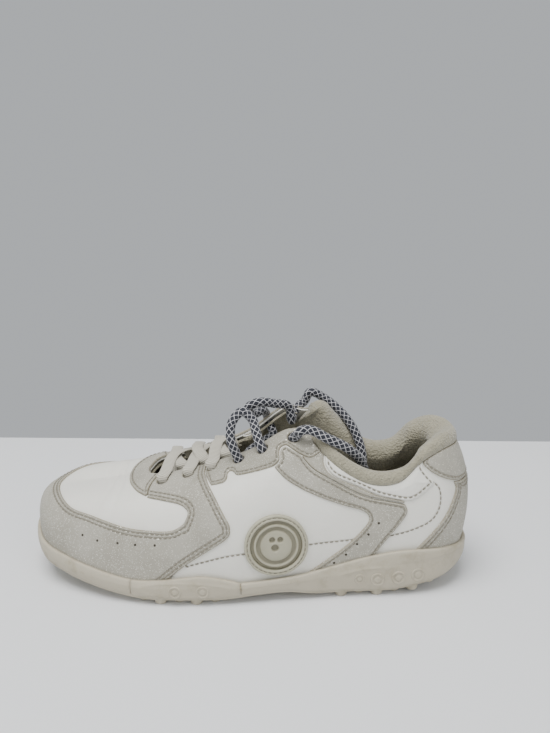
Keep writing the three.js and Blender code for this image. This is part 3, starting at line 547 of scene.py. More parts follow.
step_u = (np.roll(FORM, -1, 0) - np.roll(FORM, 1, 0)) / 2
step_v = np.gradient(FORM, axis=1)
METRIC = [(step_u**2).sum(-1), (step_u * step_v).sum(-1), (step_v**2).sum(-1)]


def true_distance(field):
    """A field that is zero on an edge, rescaled to millimetres along the form near that edge."""
    fu = (np.roll(field, -1, 0) - np.roll(field, 1, 0)) / 2
    fv = np.gradient(field, axis=1)
    e, f, g = METRIC
    slope = (g * fu**2 - 2 * f * fu * fv + e * fv**2) / np.maximum(e * g - f * f, 1e-6)
    return field / np.sqrt(np.clip(slope, 0.03, 1.5))


def outline(runs):
    """A closed outline: a run of two points is a straight edge, a longer one is smooth."""
    parts = [np.array(run, float) if len(run) == 2 else smooth_line(run) for run in runs]
    return np.vstack([part[:-1] for part in parts])


def inside_of(runs, view):
    """Distance inside an outline given in the side view (s, z) or in plan (s, lat)."""
    across, up = ALONG.ravel(), (HEIGHT if view == "side" else LAT).ravel()
    shape = outline(runs)
    best = np.full(len(across), 1e9)
    within = np.zeros(len(across), bool)
    for p, q in zip(shape, np.roll(shape, -1, axis=0)):
        dx, dy = q - p
        long = max(dx * dx + dy * dy, 1e-9)
        t = np.clip(((across - p[0]) * dx + (up - p[1]) * dy) / long, 0, 1)
        best = np.minimum(best, (across - p[0] - t * dx) ** 2 + (up - p[1] - t * dy) ** 2)
        if dy:
            crosses = (p[1] > up) != (q[1] > up)
            within ^= crosses & (across > p[0] + (up - p[1]) * dx / dy)
    signed = np.where(within, 1, -1) * np.sqrt(best)
    return true_distance(signed.reshape(ALONG.shape))


def chain(*corners):
    """Straight runs from each corner to the next."""
    return [[p, q] for p, q in zip(corners, corners[1:])]


def matched(u, v, beside):
    """The station written so that it lies beside another one; on the ridge both sides are one."""
    options = [u, u - TURN, u + TURN]
    if v > 0.9999:
        options += [TURN - u, -u]
    return min(options, key=lambda w: abs(w - beside))


def cut(cells, data, column, level, keep_below):
    """Cuts the cells where a field crosses a level. Returns the cells kept and the cut's short edges."""
    made, kept, line = {}, [], []
    for cell in cells:
        values = [data[k][column] - level for k in cell]
        if min(values) >= 0:
            kept.append(cell)
            continue
        if max(values) < 0:
            if keep_below:
                kept.append(cell)
            continue
        above, below, crossing = [], [], []
        for k, a in enumerate(cell):
            b = cell[(k + 1) % len(cell)]
            fa, fb = values[k], values[(k + 1) % len(cell)]
            (above if fa >= 0 else below).append(a)
            if (fa >= 0) != (fb >= 0):
                key = (min(a, b), max(a, b))
                if key not in made:
                    t = fa / (fa - fb)
                    start, end = data[a], data[b]
                    outer = start if start[1] <= end[1] else end
                    ua, ub = matched(start[0], start[1], outer[0]), matched(end[0], end[1], outer[0])
                    row = [p + (q - p) * t for p, q in zip(start, end)]
                    row[0] = ua + (ub - ua) * t
                    made[key] = len(data)
                    data.append(row)
                above.append(made[key])
                below.append(made[key])
                crossing.append(made[key])
        if len(above) > 2:
            kept.append(above)
        if keep_below and len(below) > 2:
            kept.append(below)
        if len(crossing) == 2:
            line.append(crossing)
    return kept, line


def chained(edges):
    """Short edges joined end to end into lines."""
    beside = {}
    for a, b in edges:
        beside.setdefault(a, []).append(b)
        beside.setdefault(b, []).append(a)
    used, lines = set(), []
    starts = [k for k, near in beside.items() if len(near) == 1] + list(beside)
    for start in starts:
        if start in used:
            continue
        line, here = [start], start
        used.add(start)
        while True:
            onward = [k for k in beside[here] if k not in used]
            if not onward:
                break
            here = onward[0]
            used.add(here)
            line.append(here)
        if len(beside[start]) > 1 and start in beside[here] and len(line) > 3:
            line.append(start)
        if len(line) > 2:
            lines.append(line)
    return lines


def sewing_thread():
    # Bonded polyester thread, plied from three strands, which show as slanting ribs.
    material, tree, where = start_material("bonded_polyester_thread")
    ply = add(
        tree, "TexWave", {"Vector": where, "Scale": spacing(0.9), "Distortion": 1.0},
        bands_direction="DIAGONAL",
    ).outputs["Fac"]
    tint = mixed(tree, ply, colour("6F6A5C"), colour("918B7C"))
    normal = add(tree, "Bump", {"Height": ply, "Strength": 0.3, "Distance": 0.1 * MM}).outputs["Normal"]
    close_material(tree, {"Base Color": tint, "Roughness": 0.6, "Normal": normal})
    return material


THREAD = sewing_thread()
STITCH = {"pitch": 3.0, "long": 2.1, "wide": 0.85, "high": 0.55, "lift": 0.12}
# Along a stitch: place as a share of its half length, fatness and lift.
STITCH_SHAPE = [(-1, 0.35, -0.12), (-0.8, 0.85, 0.05), (0, 1, 0.16), (0.8, 0.85, 0.05), (1, 0.35, -0.12)]
EDGE_EASE = 1.1
EDGE_CUT = 0.3  # the share of that ease with an extra row of points
EDGE_DROP = 0.7  # the share of the thickness that the rounding takes
GROOVE_DEPTH = 0.16
GROOVE_HALF = 0.5
SEAM_CLEARANCE = 0.9  # a row of stitches stops this far from another edge
FAR = 9.0  # what the attributes say where there is no seam or edge nearby


def distance_along(line):
    return np.concatenate([[0], np.cumsum(np.linalg.norm(np.diff(line, axis=0), axis=1))])


def stitch_row(line, normals):
    """A row of stitches along a line on the leather: each is a short rounded bar."""
    along = distance_along(line)
    count = int(along[-1] / STITCH["pitch"])
    shapes = []
    turn = turns(8)
    for k in range(count):
        at = (k + 0.5) * along[-1] / count
        ends = [at - STITCH["long"] / 2, at, at + STITCH["long"] / 2]
        a, middle, b = (np.array([np.interp(x, along, line[:, j]) for j in range(3)]) for x in ends)
        i = min(int(np.searchsorted(along, at)), len(normals) - 1)
        forward = unit(b - a)
        side = unit(np.cross(normals[i], forward))
        up = np.cross(forward, side)
        rings = []
        for reach, fat, lift in STITCH_SHAPE:
            centre = middle + forward * reach * STITCH["long"] / 2 + up * lift
            wide = np.cos(turn)[:, None] * side * STITCH["wide"] / 2
            high = np.sin(turn)[:, None] * up * STITCH["high"] / 2
            rings.append(centre + fat * (wide + high))
        shapes.append(loft(rings))
    return shapes


def mark(piece, label, values):
    """Gives each point of a piece a measure for its material to read."""
    layer = piece.data.attributes.new(label, "FLOAT", "POINT")
    layer.data.foreach_set("value", values.astype(np.float32))


def panel(
    name, limits, depths, material, slot, seams=(), ease=EDGE_EASE, body="root", replaces=(),
    shape=None, move=None,
):
    """A panel inside all its limits. seams lists (limit number, distance from that edge) for each row
    of stitches. ease is how far in the edge is rounded, and shape may change the outer depth."""
    worst = np.min(limits, axis=0)
    touched = worst > 0
    touched = touched | np.roll(touched, -1, 0)
    touched = touched[:, :-1] | touched[:, 1:]
    near_column = 2 + len(limits)
    flat = np.stack([UU, VV, *limits], -1).reshape(-1, near_column)
    data, index, cells = [], {}, []
    reach = touched | np.roll(touched, 1, 0)
    for i, j in np.argwhere(reach):
        n = (i + 1) % COLUMNS
        cell = [CANON[i, j], CANON[i, j + 1], CANON[n, j + 1], CANON[n, j]]
        own = []
        for k in cell:
            if k not in index:
                index[k] = len(data)
                data.append(flat[k].tolist())
            own.append(index[k])
        own = [k for p, k in enumerate(own) if k != own[p - 1]]
        if len(own) > 2:
            cells.append(own)
    for column in range(2, near_column):
        cells, _ = cut(cells, data, column, 0.0, False)
    rows = []
    for number, offset in seams:
        cells, line = cut(cells, data, 2 + number, offset, True)
        others = [k for k in range(2, near_column) if k != 2 + number]
        line = [e for e in line if all(data[a][k] > SEAM_CLEARANCE for a in e for k in others)]
        rows += chained(line)
    for row in data:
        row.append(min(row[2:near_column]))
    for level in (EDGE_CUT * ease, ease):
        cells, _ = cut(cells, data, near_column, level, True)
    table = np.array(data)
    u, v = table[:, 0], table[:, 1]
    near = table[:, near_column]
    t = np.clip(1 - near / ease, 0, 1)
    top = depths[1] - (1 - np.sqrt(np.maximum(1 - t * t, 0))) * (depths[1] - depths[0]) * EDGE_DROP
    seam = np.full(len(table), FAR)
    for number, offset in seams:
        seam = np.minimum(seam, np.abs(table[:, 2 + number] - offset))
    top = top - GROOVE_DEPTH * np.exp(-((seam / GROOVE_HALF) ** 2))
    if shape:
        top = shape(u, v, near, top)
    outer, inner = layer_point(u, v, top), layer_point(u, v, np.full(len(table), depths[0]))
    if move:
        outer, inner = move(outer), move(inner)
    count = len(table)
    edges = {}
    for cell in cells:
        for k, a in enumerate(cell):
            b = cell[(k + 1) % len(cell)]
            edges[(a, b)] = True
    rim = [(a, b) for a, b in edges if (b, a) not in edges]
    faces = cells + [[k + count for k in cell[::-1]] for cell in cells]
    faces += [[b, a, a + count, b + count] for a, b in rim]
    used = sorted({k for f in faces for k in f})
    renumber = {k: n for n, k in enumerate(used)}
    faces = [[renumber[k] for k in f] for f in faces]
    every = np.concatenate([outer, inner])[used]
    piece = new_object(name, every, faces, material, slot, body, replaces=replaces)
    for label, measured in (("seam_mm", seam), ("edge_mm", near)):
        mark(piece, label, np.concatenate([measured, np.full(count, FAR)])[used])
    inner_rim = {tuple(sorted((renumber[a + count], renumber[b + count]))) for a, b in rim}
    sharp = [tuple(sorted(e.vertices)) in inner_rim for e in piece.data.edges]
    piece.data.attributes.new("sharp_edge", "BOOLEAN", "EDGE").data.foreach_set("value", sharp)
    shapes = []
    for line in rows:
        normals = outward_at(u[line], v[line])
        shapes += stitch_row(outer[line] + normals * STITCH["lift"], normals)
    if shapes:
        points, faces = joined(shapes)
        new_object(name + "_stitches", points, faces, THREAD, slot, body)
    return piece


# The openings that several layers share: the throat, the lace holes, and the top edge of the leather.
throat = -inside_of([
    [(60, 4), (96, 9)],
    [(96, 9), (108, 9.5), (126, 9.8), (141, 8.5), (158, 7.5), (173, 8), (189, 8.5), (199, 5), (203, -6)],
    [(203, -6), (199, -17), (189, -20.5), (173, -20), (158, -19.5), (141, -20.5), (126, -21.8), (96, -21)],
    [(96, -21), (60, -16)],
    [(60, -16), (60, 4)],
], "plan")
LACE_HOLES = [(189, 17), (173, 15.3), (158.5, 14)]
ROPE_HOLES = [(141, 15.5), (126, 17), (108, 15.5)]
INNER_ROPE_HOLES = [(141, -27.5), (126, -28.5), (108, -24)]
INNER_LACE_HOLES = [(s, 2 * RIDGE_LAT - lat) for s, lat in LACE_HOLES]


BEYOND = 99.0  # a limit that is never met


def clear_of_holes(radius):
    """Distance outside the lace holes."""
    clear = np.full(ALONG.shape, BEYOND)
    for s, lat in LACE_HOLES + INNER_LACE_HOLES + ROPE_HOLES + INNER_ROPE_HOLES:
        centre = over_surface(s, lat, 0)
        clear = np.minimum(clear, np.linalg.norm(FORM - centre, axis=-1) - radius)
    return clear


HOLE_RADIUS = 3.4
holes = clear_of_holes(HOLE_RADIUS)
rib_length = np.linalg.norm(np.diff(FORM, axis=1), axis=-1).sum(1)[:, None]
THROAT_CORNER = 7  # the station where the collar turns down into the throat


def ahead_of_corner(u):
    return np.clip(from_heel(u) - THROAT_CORNER, 0, 1)


edge_at = 0.94 + 0.06 * ahead_of_corner(UU)
top_edge = np.where(from_heel(UU) >= PINCH, BEYOND, (edge_at - VV) * rib_length)
opened = [throat, holes, top_edge]
HALF_GAP = 0.15  # between the halves at the heel and the throat
lateral_half = LAT - HALF_GAP
medial_half = -LAT - HALF_GAP

BASE = (-1.2, 0.0)  # inner and outer depth of the first layer of leather
OVERLAY = (0.02, 1.3)
vamp_seam = [(176, 130), (162, 70), (155, 56), (152, 44), (160, 34), (178, 18), (190, -10)]
rear_part = inside_of([vamp_seam, *chain((190, -10), (-30, -10), (-30, 130), (176, 130))], "side")
front_part = -rear_part


# ---- Vamp ----
# One piece of smooth white leather, lasted over the toes and cemented under the insole board. It
# creases across where the foot bends.
def groove(tree, width):
    """0 on a seam line and 1 away from it: the leather is drawn down where it is sewn, and the materials
    also darken their colour with it as painted shade in that groove.
    """
    seam = add(tree, "Attribute", attribute_name="seam_mm").outputs["Fac"]
    return add(
        tree, "MapRange", {"Value": seam, "From Max": width}, interpolation_type="SMOOTHSTEP"
    ).outputs["Result"]


def white_leather():
    # Full-grain leather, drum dyed white and pigment finished: a soft satin gloss over a fine pebble,
    # with faint long creases and a little grey where it is handled.
    material, tree, where = start_material("white_pigmented_leather")
    pebble = add(
        tree, "TexVoronoi", {"Vector": where, "Scale": spacing(0.9)}, feature="SMOOTH_F1"
    ).outputs["Distance"]
    crease = add(
        tree, "TexNoise", {"Vector": where, "Scale": spacing(14), "Detail": 6.0, "Distortion": 0.8}
    ).outputs["Fac"]
    soil = add(tree, "TexNoise", {"Vector": where, "Scale": spacing(38), "Detail": 4.0}).outputs["Fac"]
    soiled = add(
        tree, "MapRange", {"Value": soil, "From Min": 0.45, "From Max": 0.8, "To Max": 0.5}
    ).outputs["Result"]
    tint = mixed(tree, soiled, colour("E4E2D9"), colour("D5D2C7"))
    # Painted shade: the leather is coloured darker along each row of stitches, in place of the shade in the
    # sewn groove.
    seam = groove(tree, 0.8)
    shade = mixed(tree, seam, colour("CFCCC2"), tint)
    fine = add(tree, "Bump", {"Height": pebble, "Strength": 0.12, "Distance": 0.12 * MM}).outputs["Normal"]
    folds = add(
        tree, "Bump", {"Height": crease, "Strength": 0.6, "Distance": 0.6 * MM, "Normal": fine}
    ).outputs["Normal"]
    sewn = add(
        tree, "Bump", {"Height": seam, "Strength": 0.7, "Distance": 0.4 * MM, "Normal": folds}
    ).outputs["Normal"]
    close_material(tree, {"Base Color": shade, "Roughness": 0.42, "Normal": sewn, "IOR": 1.48})
    return material


WHITE_LEATHER = white_leather()


CREASES = [(219.5, 1.0, 0.10), (224.5, 0.8, -0.06), (230.5, 0.55, 0.05)]  # place, depth, slant


def flexed(u, v, near, top):
    """Creases across the flex line, and a faint swell."""
    at = surface_at(u, v)
    s, lat = HEEL_X - at[:, 0], MIDDLE_Y - at[:, 1]
    folds = 0
    for place_s, depth, slant in CREASES:
        across = s - place_s + slant * lat + 1.6 * np.sin(lat / 9)
        folds = folds + depth * np.exp(-((across / 1.5) ** 2)) * np.exp(-((lat / 24) ** 2))
    swell = 0.25 * np.sin(s / 11 + 0.5) * np.sin(lat / 13)
    return top - folds + swell * np.clip(near / 6, 0, 1)


panel(
    "vamp_leather", [front_part, *opened], BASE, WHITE_LEATHER, "white_leather", shape=flexed,
    replaces=["vamp"],
)

# ---- Quarters ----
# White leather from the vamp round to the heel, one half to each side. Rows of stitches hold them
# to the lining: one between the forefoot overlay and the chevron, one round the heel.
AWAY = 30.0  # more than any limit that the seams meet


def drawn(runs):
    """A field for an outline that is only sewn along, not cut: it is AWAY on the outline."""
    return np.clip(inside_of(runs, "side"), -20, 20) + AWAY


def quarter(side, half):
    """One quarter, with the row above the sole and the row round the heel's padding."""
    line = drawn([
        [(62, 36.2), (75.6, 35.3), (87.4, 34.7), (100.2, 34), (129.7, 31.2), (146.8, 29.2), (170, 23)],
        *chain((170, 23), (170, 130), (62, 130), (62, 36.2)),
    ])
    patch = drawn([
        [(26.3, 69), (22.3, 64), (22.3, 54), (28, 45.5), (42, 39.5), (62, 35)],
        *chain((62, 35), (62, 69), (26.3, 69)),
    ])
    panel(
        "quarter_" + side + "_leather", [rear_part, half, *opened, line, patch], BASE, WHITE_LEATHER,
        "white_leather", seams=[(5, AWAY), (6, AWAY)], replaces=["quarter_" + side],
    )


HALVES = (("lateral", lateral_half), ("medial", medial_half))
for side, half in HALVES:
    quarter(side, half)

# ---- Linings ----
# Brushed fleece, cut to the same pieces as the leather and glued to its inner side. The rear one
# stops below the collar's own fleece.
def fleece():
    # Brushed polyester fleece bonded to foam: a matt pile of soft curls about 1.3 mm across, in
    # clumps, which catches light at its edges.
    material, tree, where = start_material("brushed_fleece")
    curls = add(
        tree, "TexVoronoi", {"Vector": where, "Scale": spacing(1.3), "Randomness": 1.0}, feature="F1"
    ).outputs["Distance"]
    clumps = add(
        tree, "TexNoise", {"Vector": where, "Scale": spacing(5), "Detail": 6.0, "Roughness": 0.7}
    ).outputs["Fac"]
    tint = mixed(tree, clumps, colour("7C7661"), colour("ABA58F"))
    low = add(tree, "Bump", {"Height": clumps, "Strength": 0.6, "Distance": 1.2 * MM}).outputs["Normal"]
    pile = add(
        tree, "Bump", {"Height": curls, "Strength": 0.8, "Distance": 0.8 * MM, "Normal": low}
    ).outputs["Normal"]
    sheen = {"Sheen Weight": 0.35, "Sheen Roughness": 0.6}
    close_material(tree, {"Base Color": tint, "Roughness": 0.95, "Normal": pile, **sheen})
    return material


FLEECE = fleece()
LINING = (-4.6, -3.2)
panel("vamp_lining_fleece", [front_part, *opened], LINING, FLEECE, "fleece", replaces=["vamp_lining"])
lining_top = 0.6 + 0.4 * ahead_of_corner(UU)
low_edge = np.where(from_heel(UU) >= PINCH, BEYOND, (lining_top - VV) * rib_length)
panel(
    "quarter_lining_fleece", [rear_part, low_edge, *opened], LINING, FLEECE, "fleece",
    replaces=["quarter_lining"],
)

# ---- Mudguard ----
# Pearl suede round the toe that runs back over the forefoot in one piece. The vamp shows through its
# window. Two rows of stitches follow the window and its rear edge.
def glitter_suede(name, base, dark):
    # Split leather under a pearl foil: a short nap strewn with tiny metal flakes, so it looks frosted
    # and sparkles in points. The flakes are drawn coarser than life, so that they show.
    material, tree, where = start_material(name)
    flakes = add(
        tree, "TexVoronoi", {"Vector": where, "Scale": spacing(0.36)}, feature="F1"
    ).outputs["Color"]
    value = add(tree, "SeparateColor", {"Color": flakes}).outputs["Red"]
    bright = add(
        tree, "MapRange", {"Value": value, "From Min": 0.9, "From Max": 0.97}
    ).outputs["Result"]
    nap = add(tree, "TexNoise", {"Vector": where, "Scale": spacing(1.1), "Detail": 3.0}).outputs["Fac"]
    cloud = add(tree, "TexNoise", {"Vector": where, "Scale": spacing(17), "Detail": 5.0}).outputs["Fac"]
    patchy = add(tree, "MapRange", {"Value": cloud, "From Min": 0.35, "From Max": 0.7}).outputs["Result"]
    ground = mixed(tree, patchy, colour(base), colour(dark))
    # Painted shade: the suede is coloured darker along each row of stitches, in place of the shade in the
    # sewn groove.
    seam = groove(tree, 0.8)
    ground_with_painted_seam_shade = mixed(tree, seam, colour("8C8778"), ground)
    edge = add(tree, "Attribute", attribute_name="edge_mm").outputs["Fac"]
    raw = add(tree, "MapRange", {"Value": edge, "From Min": 0.25, "From Max": 0.9}).outputs["Result"]
    edged = mixed(tree, raw, colour("8F8876"), ground_with_painted_seam_shade)
    speckled = mixed(tree, bright, edged, colour("D9D6CB"))
    shine = add(
        tree, "MapRange", {"Value": bright, "To Min": 0.78, "To Max": 0.28}
    ).outputs["Result"]
    metal = add(tree, "MapRange", {"Value": bright, "To Max": 0.55}).outputs["Result"]
    bumped = add(tree, "Bump", {"Height": nap, "Strength": 0.45, "Distance": 0.22 * MM}).outputs["Normal"]
    sewn = add(
        tree, "Bump", {"Height": seam, "Strength": 0.8, "Distance": 0.4 * MM, "Normal": bumped}
    ).outputs["Normal"]
    close_material(
        tree, {"Base Color": speckled, "Roughness": shine, "Metallic": metal, "Normal": sewn}
    )
    return material


PEARL_SUEDE = glitter_suede("pearl_foiled_suede", "A8A498", "989487")
saddle = inside_of([
    [(176, 130), (162.3, 68)],
    [
        (162.3, 68), (153.8, 61), (146.9, 51.8), (144, 46.5), (145.4, 40.4), (157.1, 32.4), (170.8, 23.4),
        (187, 10),
    ],
    [(187, 10), (198, -10)],
    *chain((198, -10), (320, -10), (320, 130), (176, 130)),
], "side")
window = -inside_of([
    [
        (171.1, 41.9), (169.4, 38.6), (175.1, 34.7), (187.4, 30.6), (197, 27.3), (204.9, 21.9), (212, 11),
        (216, -6), (213, -17), (206, -26), (197, -31), (186, -33.5), (175.1, -36.5), (170.4, -40),
        (172.5, -43), (184, -43.5), (203, -41.5), (224, -36.5), (244, -29), (258, -20.5), (264, -7),
        (257.4, 10.3), (246.6, 23.8), (228.9, 31.9), (209.2, 38.4), (190.4, 41.7), (178, 42.9),
        (171.1, 41.9),
    ],
], "plan")
apron_front = [
    (197, -30.6), (206, -25.6), (212.6, -17), (215.6, -6), (211.6, 11), (204.6, 21.6), (196.4, 27.2),
]
apron_rear = [
    [(196.4, 27.2), (196, 19), (191.5, 5)],
    [(191.5, 5), (191.5, -17)],
    [(191.5, -17), (196, -27), (197, -30.6)],
]
apron_room = -inside_of([
    *[[(s - 0.3, lat) for s, lat in run] for run in apron_rear],
    [(196.7, -30.6), (200, -36)],
    *chain((200, -36), (225, -20), (225, 20), (200, 32), (196.1, 27.2)),
], "plan")
panel(
    "mudguard_suede", [saddle, window, apron_room, *opened], OVERLAY, PEARL_SUEDE, "pearl_suede",
    seams=[(0, 1.8), (0, 4.0), (1, 1.8), (1, 4.0)], replaces=["mudguard"],
)

# ---- Apron ----
# A half-moon of the same suede at the foot of the throat, a little thicker than the mudguard round
# it. It is sewn down with one row, over the vamp.
APRON_LAYER = (0.02, 1.6)
apron = inside_of([*apron_rear, apron_front], "plan")
panel(
    "apron_suede", [apron, *opened], APRON_LAYER, PEARL_SUEDE, "pearl_suede", seams=[(0, 2.0)],
    replaces=["apron"],
)

# ---- Heel ----
# The overlay is pearl suede sewn round the heel with two rows; the tab above it is a separate piece
# that reaches up to the collar.
heel_runs = [
    [(13.6, 67.2), (12.2, 63), (13.5, 58.6), (18.5, 48.5), (27.1, 37.6), (35.4, 28.4), (43, 20)],
    *chain((43, 20), (60, -10), (-10, -10), (-10, 65.7)),
    [(-10, 65.7), (6, 66.1), (13.6, 67.2)],
]
panel(
    "heel_overlay_suede", [inside_of(heel_runs, "side"), top_edge], OVERLAY, PEARL_SUEDE, "pearl_suede",
    seams=[(0, 1.8), (0, 4.0)], replaces=["heel_overlay"],
)
tab_runs = [
    [(32.4, 130), (31.9, 82)],
    [(31.9, 82), (31.6, 78.4), (25, 73.2), (15, 68.4), (6, 66.6), (-10, 66.2)],
    *chain((-10, 66.2), (-10, 130), (32.4, 130)),
]
panel(
    "heel_tab_suede", [inside_of(tab_runs, "side"), top_edge], OVERLAY, PEARL_SUEDE, "pearl_suede",
    seams=[(0, 1.9)], replaces=["heel_tab"],
)

# ---- Side panels ----
# Eyestay, stripe, chevron and collar panel, the same on both sides. The eyestay and the stripe are
# grey leather under the same pearl foil, the chevron pearl suede, the collar panel padded white leather.
GREY_LEATHER = glitter_suede("pearl_foiled_grey_leather", "9F9B8E", "928E81")
SIDE_PANELS = {
    "eyestay": ([
        [(175.5, 130), (161.8, 68)],
        [(161.8, 68), (156.6, 65)],
        [
            (156.6, 65), (148.3, 67.6), (146.8, 71.2), (143.9, 71.9), (140.5, 71.2), (130.4, 74.2),
            (119.4, 78),
        ],
        [
            (119.4, 78), (116, 80.8), (115.9, 85.6), (112.5, 87.5), (108.3, 85.6), (102.9, 82.6),
            (97, 81.2), (90, 85),
        ],
        [(90, 85), (84, 130)],
        [(84, 130), (175.5, 130)],
    ], GREY_LEATHER, "grey_leather", [1.8]),
    "stripe": ([
        [(102.9, 82.1), (97, 80.7), (89.9, 84.3)],
        [(89.9, 84.3), (89.4, 77), (83.9, 71.3), (70.3, 66), (56.7, 60.4), (43.2, 58)],
        [(43.2, 58), (42.8, 56.8)],
        [(42.8, 56.8), (65.3, 60.9), (82.1, 68.4), (96, 75.6), (102.9, 82.1)],
    ], GREY_LEATHER, "pearl_suede", []),
    "chevron": ([
        [(118.6, 77.6), (112.3, 72), (102.9, 66.2), (89, 59.8), (75.5, 55.2)],
        [(75.5, 55.2), (66.9, 52.5), (63.5, 49), (65.2, 44), (75.3, 33.5), (89.2, 23.1), (103, 14)],
        [(103, 14), (112, -10)],
        [(112, -10), (75, -10)],
        [(75, -10), (63.2, 20.8)],
        [(63.2, 20.8), (56.3, 30.9), (46.3, 43.6), (41.3, 51.5), (42.6, 56.2)],
        [(42.6, 56.2), (65.4, 60.4), (82.2, 67.9), (96.2, 75.1), (103.6, 82.4)],
        [(103.6, 82.4), (108.3, 85), (112.5, 86.9), (115.4, 85.1), (115.5, 80.6), (118.6, 77.6)],
    ], PEARL_SUEDE, "pearl_suede", [1.7]),
    "collar_panel": ([
        [(89.2, 130), (88.8, 77.4)],
        [(88.8, 77.4), (83.6, 71.9), (70.2, 66.6), (56.5, 61), (43, 58.6), (36, 60.3), (29.5, 65.3)],
        [(29.5, 65.3), (26.3, 69), (29.6, 73.4), (32.6, 77.5), (32.4, 82)],
        [(32.4, 82), (33, 130)],
        [(33, 130), (89.2, 130)],
    ], WHITE_LEATHER, "white_leather", [1.8]),
}


# The collar panel is padded, so it swells between its seams.
SWELL_HEIGHT = 1.1
SWELL_REACH = 6


def plump(u, v, near, top):
    return top + SWELL_HEIGHT * (1 - np.exp(-((near / SWELL_REACH) ** 2)))


for side, half in HALVES:
    for label, (runs, material, slot, rows) in SIDE_PANELS.items():
        field = inside_of(runs, "side")
        panel(
            f"{label}_{side}_panel", [field, half, *opened], OVERLAY, material, slot,
            seams=[(0, offset) for offset in rows], replaces=[f"{label}_{side}"],
            shape=plump if label == "collar_panel" else None,
        )

# ---- Badge ----
# A round rubber badge on each quarter, glued and sewn down: a raised outer ring with a stitched
# groove, a second ring, and a sunk disc that carries a plain ball with three finger holes.
BADGE = {"s": 117.5, "z": 35.2, "radius": 18.3, "ring": 3.4}


def beside(s, z, side):
    """The stations and height fractions of places near the badge, in the side view."""
    u, v = np.full(s.shape, side * 8.9), np.full(s.shape, 0.3)
    step = 0.01
    for _ in range(15):
        at = surface_at(u, v)
        along = (surface_at(u + step, v) - surface_at(u - step, v)) / (2 * step)
        up = (surface_at(u, v + step) - surface_at(u, v - step)) / (2 * step)
        miss_x, miss_z = HEEL_X - s - at[..., 0], z - at[..., 2]
        area = along[..., 0] * up[..., 2] - up[..., 0] * along[..., 2]
        u = u + (miss_x * up[..., 2] - up[..., 0] * miss_z) / area
        v = np.clip(v + (along[..., 0] * miss_z - miss_x * along[..., 2]) / area, 0.02, 0.9)
    return u, v


def moulded_badge():
    # The same rubber as the sole, greyer, with painted shade where the moulding is low.
    material, tree, where = start_material("moulded_badge_rubber")
    grain = add(tree, "TexNoise", {"Vector": where, "Scale": spacing(0.8), "Detail": 2.0}).outputs["Fac"]
    stain = add(tree, "TexNoise", {"Vector": where, "Scale": spacing(7), "Detail": 6.0}).outputs["Fac"]
    # Painted shade: the lower a spot of the moulding lies, the darker its colour, in place of the shade in
    # its recesses.
    sunk = add(tree, "Attribute", attribute_name="sunk_mm").outputs["Fac"]
    low = add(
        tree, "MapRange", {"Value": sunk, "From Min": 0.5, "From Max": 1.7, "To Max": 0.85}
    ).outputs["Result"]
    tint = mixed(tree, stain, colour("B1AD98"), colour("A29E88"))
    tint_with_painted_shade = mixed(tree, low, tint, colour("77725F"))
    normal = add(tree, "Bump", {"Height": grain, "Strength": 0.2, "Distance": 0.15 * MM}).outputs["Normal"]
    close_material(tree, {"Base Color": tint_with_painted_shade, "Roughness": 0.55, "Normal": normal})
    return material


BADGE_RUBBER = moulded_badge()
BADGE_STEPS = 120
RING_IN = BADGE["radius"] - BADGE["ring"]


def edge_step(distance, width=0.14):
    """0 outside a shape and 1 inside it, with a short moulded slope between."""
    return 1 / (1 + np.exp(np.clip(distance / width, -30, 30)))


def ring_height(r, x, z):
    """The outer ring: a crowned bar with a groove for its stitches."""
    crown = 1 - (2 * (r - RING_IN) / BADGE["ring"] - 1) ** 2
    sewn_line = np.exp(-(((r - RING_IN - BADGE["ring"] / 2) / 0.42) ** 2))
    return 1.5 + 1.0 * np.clip(crown, 0, 1) ** 0.4 - 0.7 * sewn_line


INNER_RING = 12.2
BALL = 9.2
FINGER_HOLES = [(-2.3, 3.9, 1.55), (2.3, 3.9, 1.55), (0.7, -0.9, 2.0)]  # place on the disc, radius
SUNK_FROM = 2.3  # the height that the painted shade in the moulding's low parts is counted down from


def disc_height(r, x, z):
    """The disc: an inner ring, and a low round ball with its finger holes."""
    ring = 1.25 * np.exp(-(((r - INNER_RING) / 0.8) ** 4))
    ball = 0.75 * edge_step(r - BALL) + 0.55 * np.sqrt(np.clip(1 - (r / 9.4) ** 2, 0, 1))
    drop = 0
    for hole_x, hole_z, radius in FINGER_HOLES:
        drop = drop + 1.5 * edge_step(np.hypot(x - hole_x, z - hole_z) - radius)
    return 0.55 + ring + ball - drop * edge_step(r - 9)


def badge_piece(name, node, side, radii, height, hollow):
    """A round piece from its outer radius inwards; a hollow one is a ring."""
    turn = turns(BADGE_STEPS)
    reach, around = np.meshgrid(radii, turn, indexing="ij")
    x, z = reach * np.cos(around), reach * np.sin(around)
    u, v = beside(BADGE["s"] + x, BADGE["z"] + z, side)
    depth = height(reach, x, z)
    top, under = layer_point(u, v, depth), layer_point(u, v, 0.02)
    rings = [under[0], *top] + ([under[-1]] if hollow else [])
    points, faces = loft(rings, closed_row=hollow)
    piece = new_object(name, points, faces, BADGE_RUBBER, "badge_rubber", replaces=[node])
    plain = np.zeros(BADGE_STEPS)
    # How far each point lies below SUNK_FROM, which the material turns into painted shade.
    sunk = np.concatenate([plain, (SUNK_FROM - depth).ravel(), *([plain] if hollow else [])])
    mark(piece, "sunk_mm", sunk)


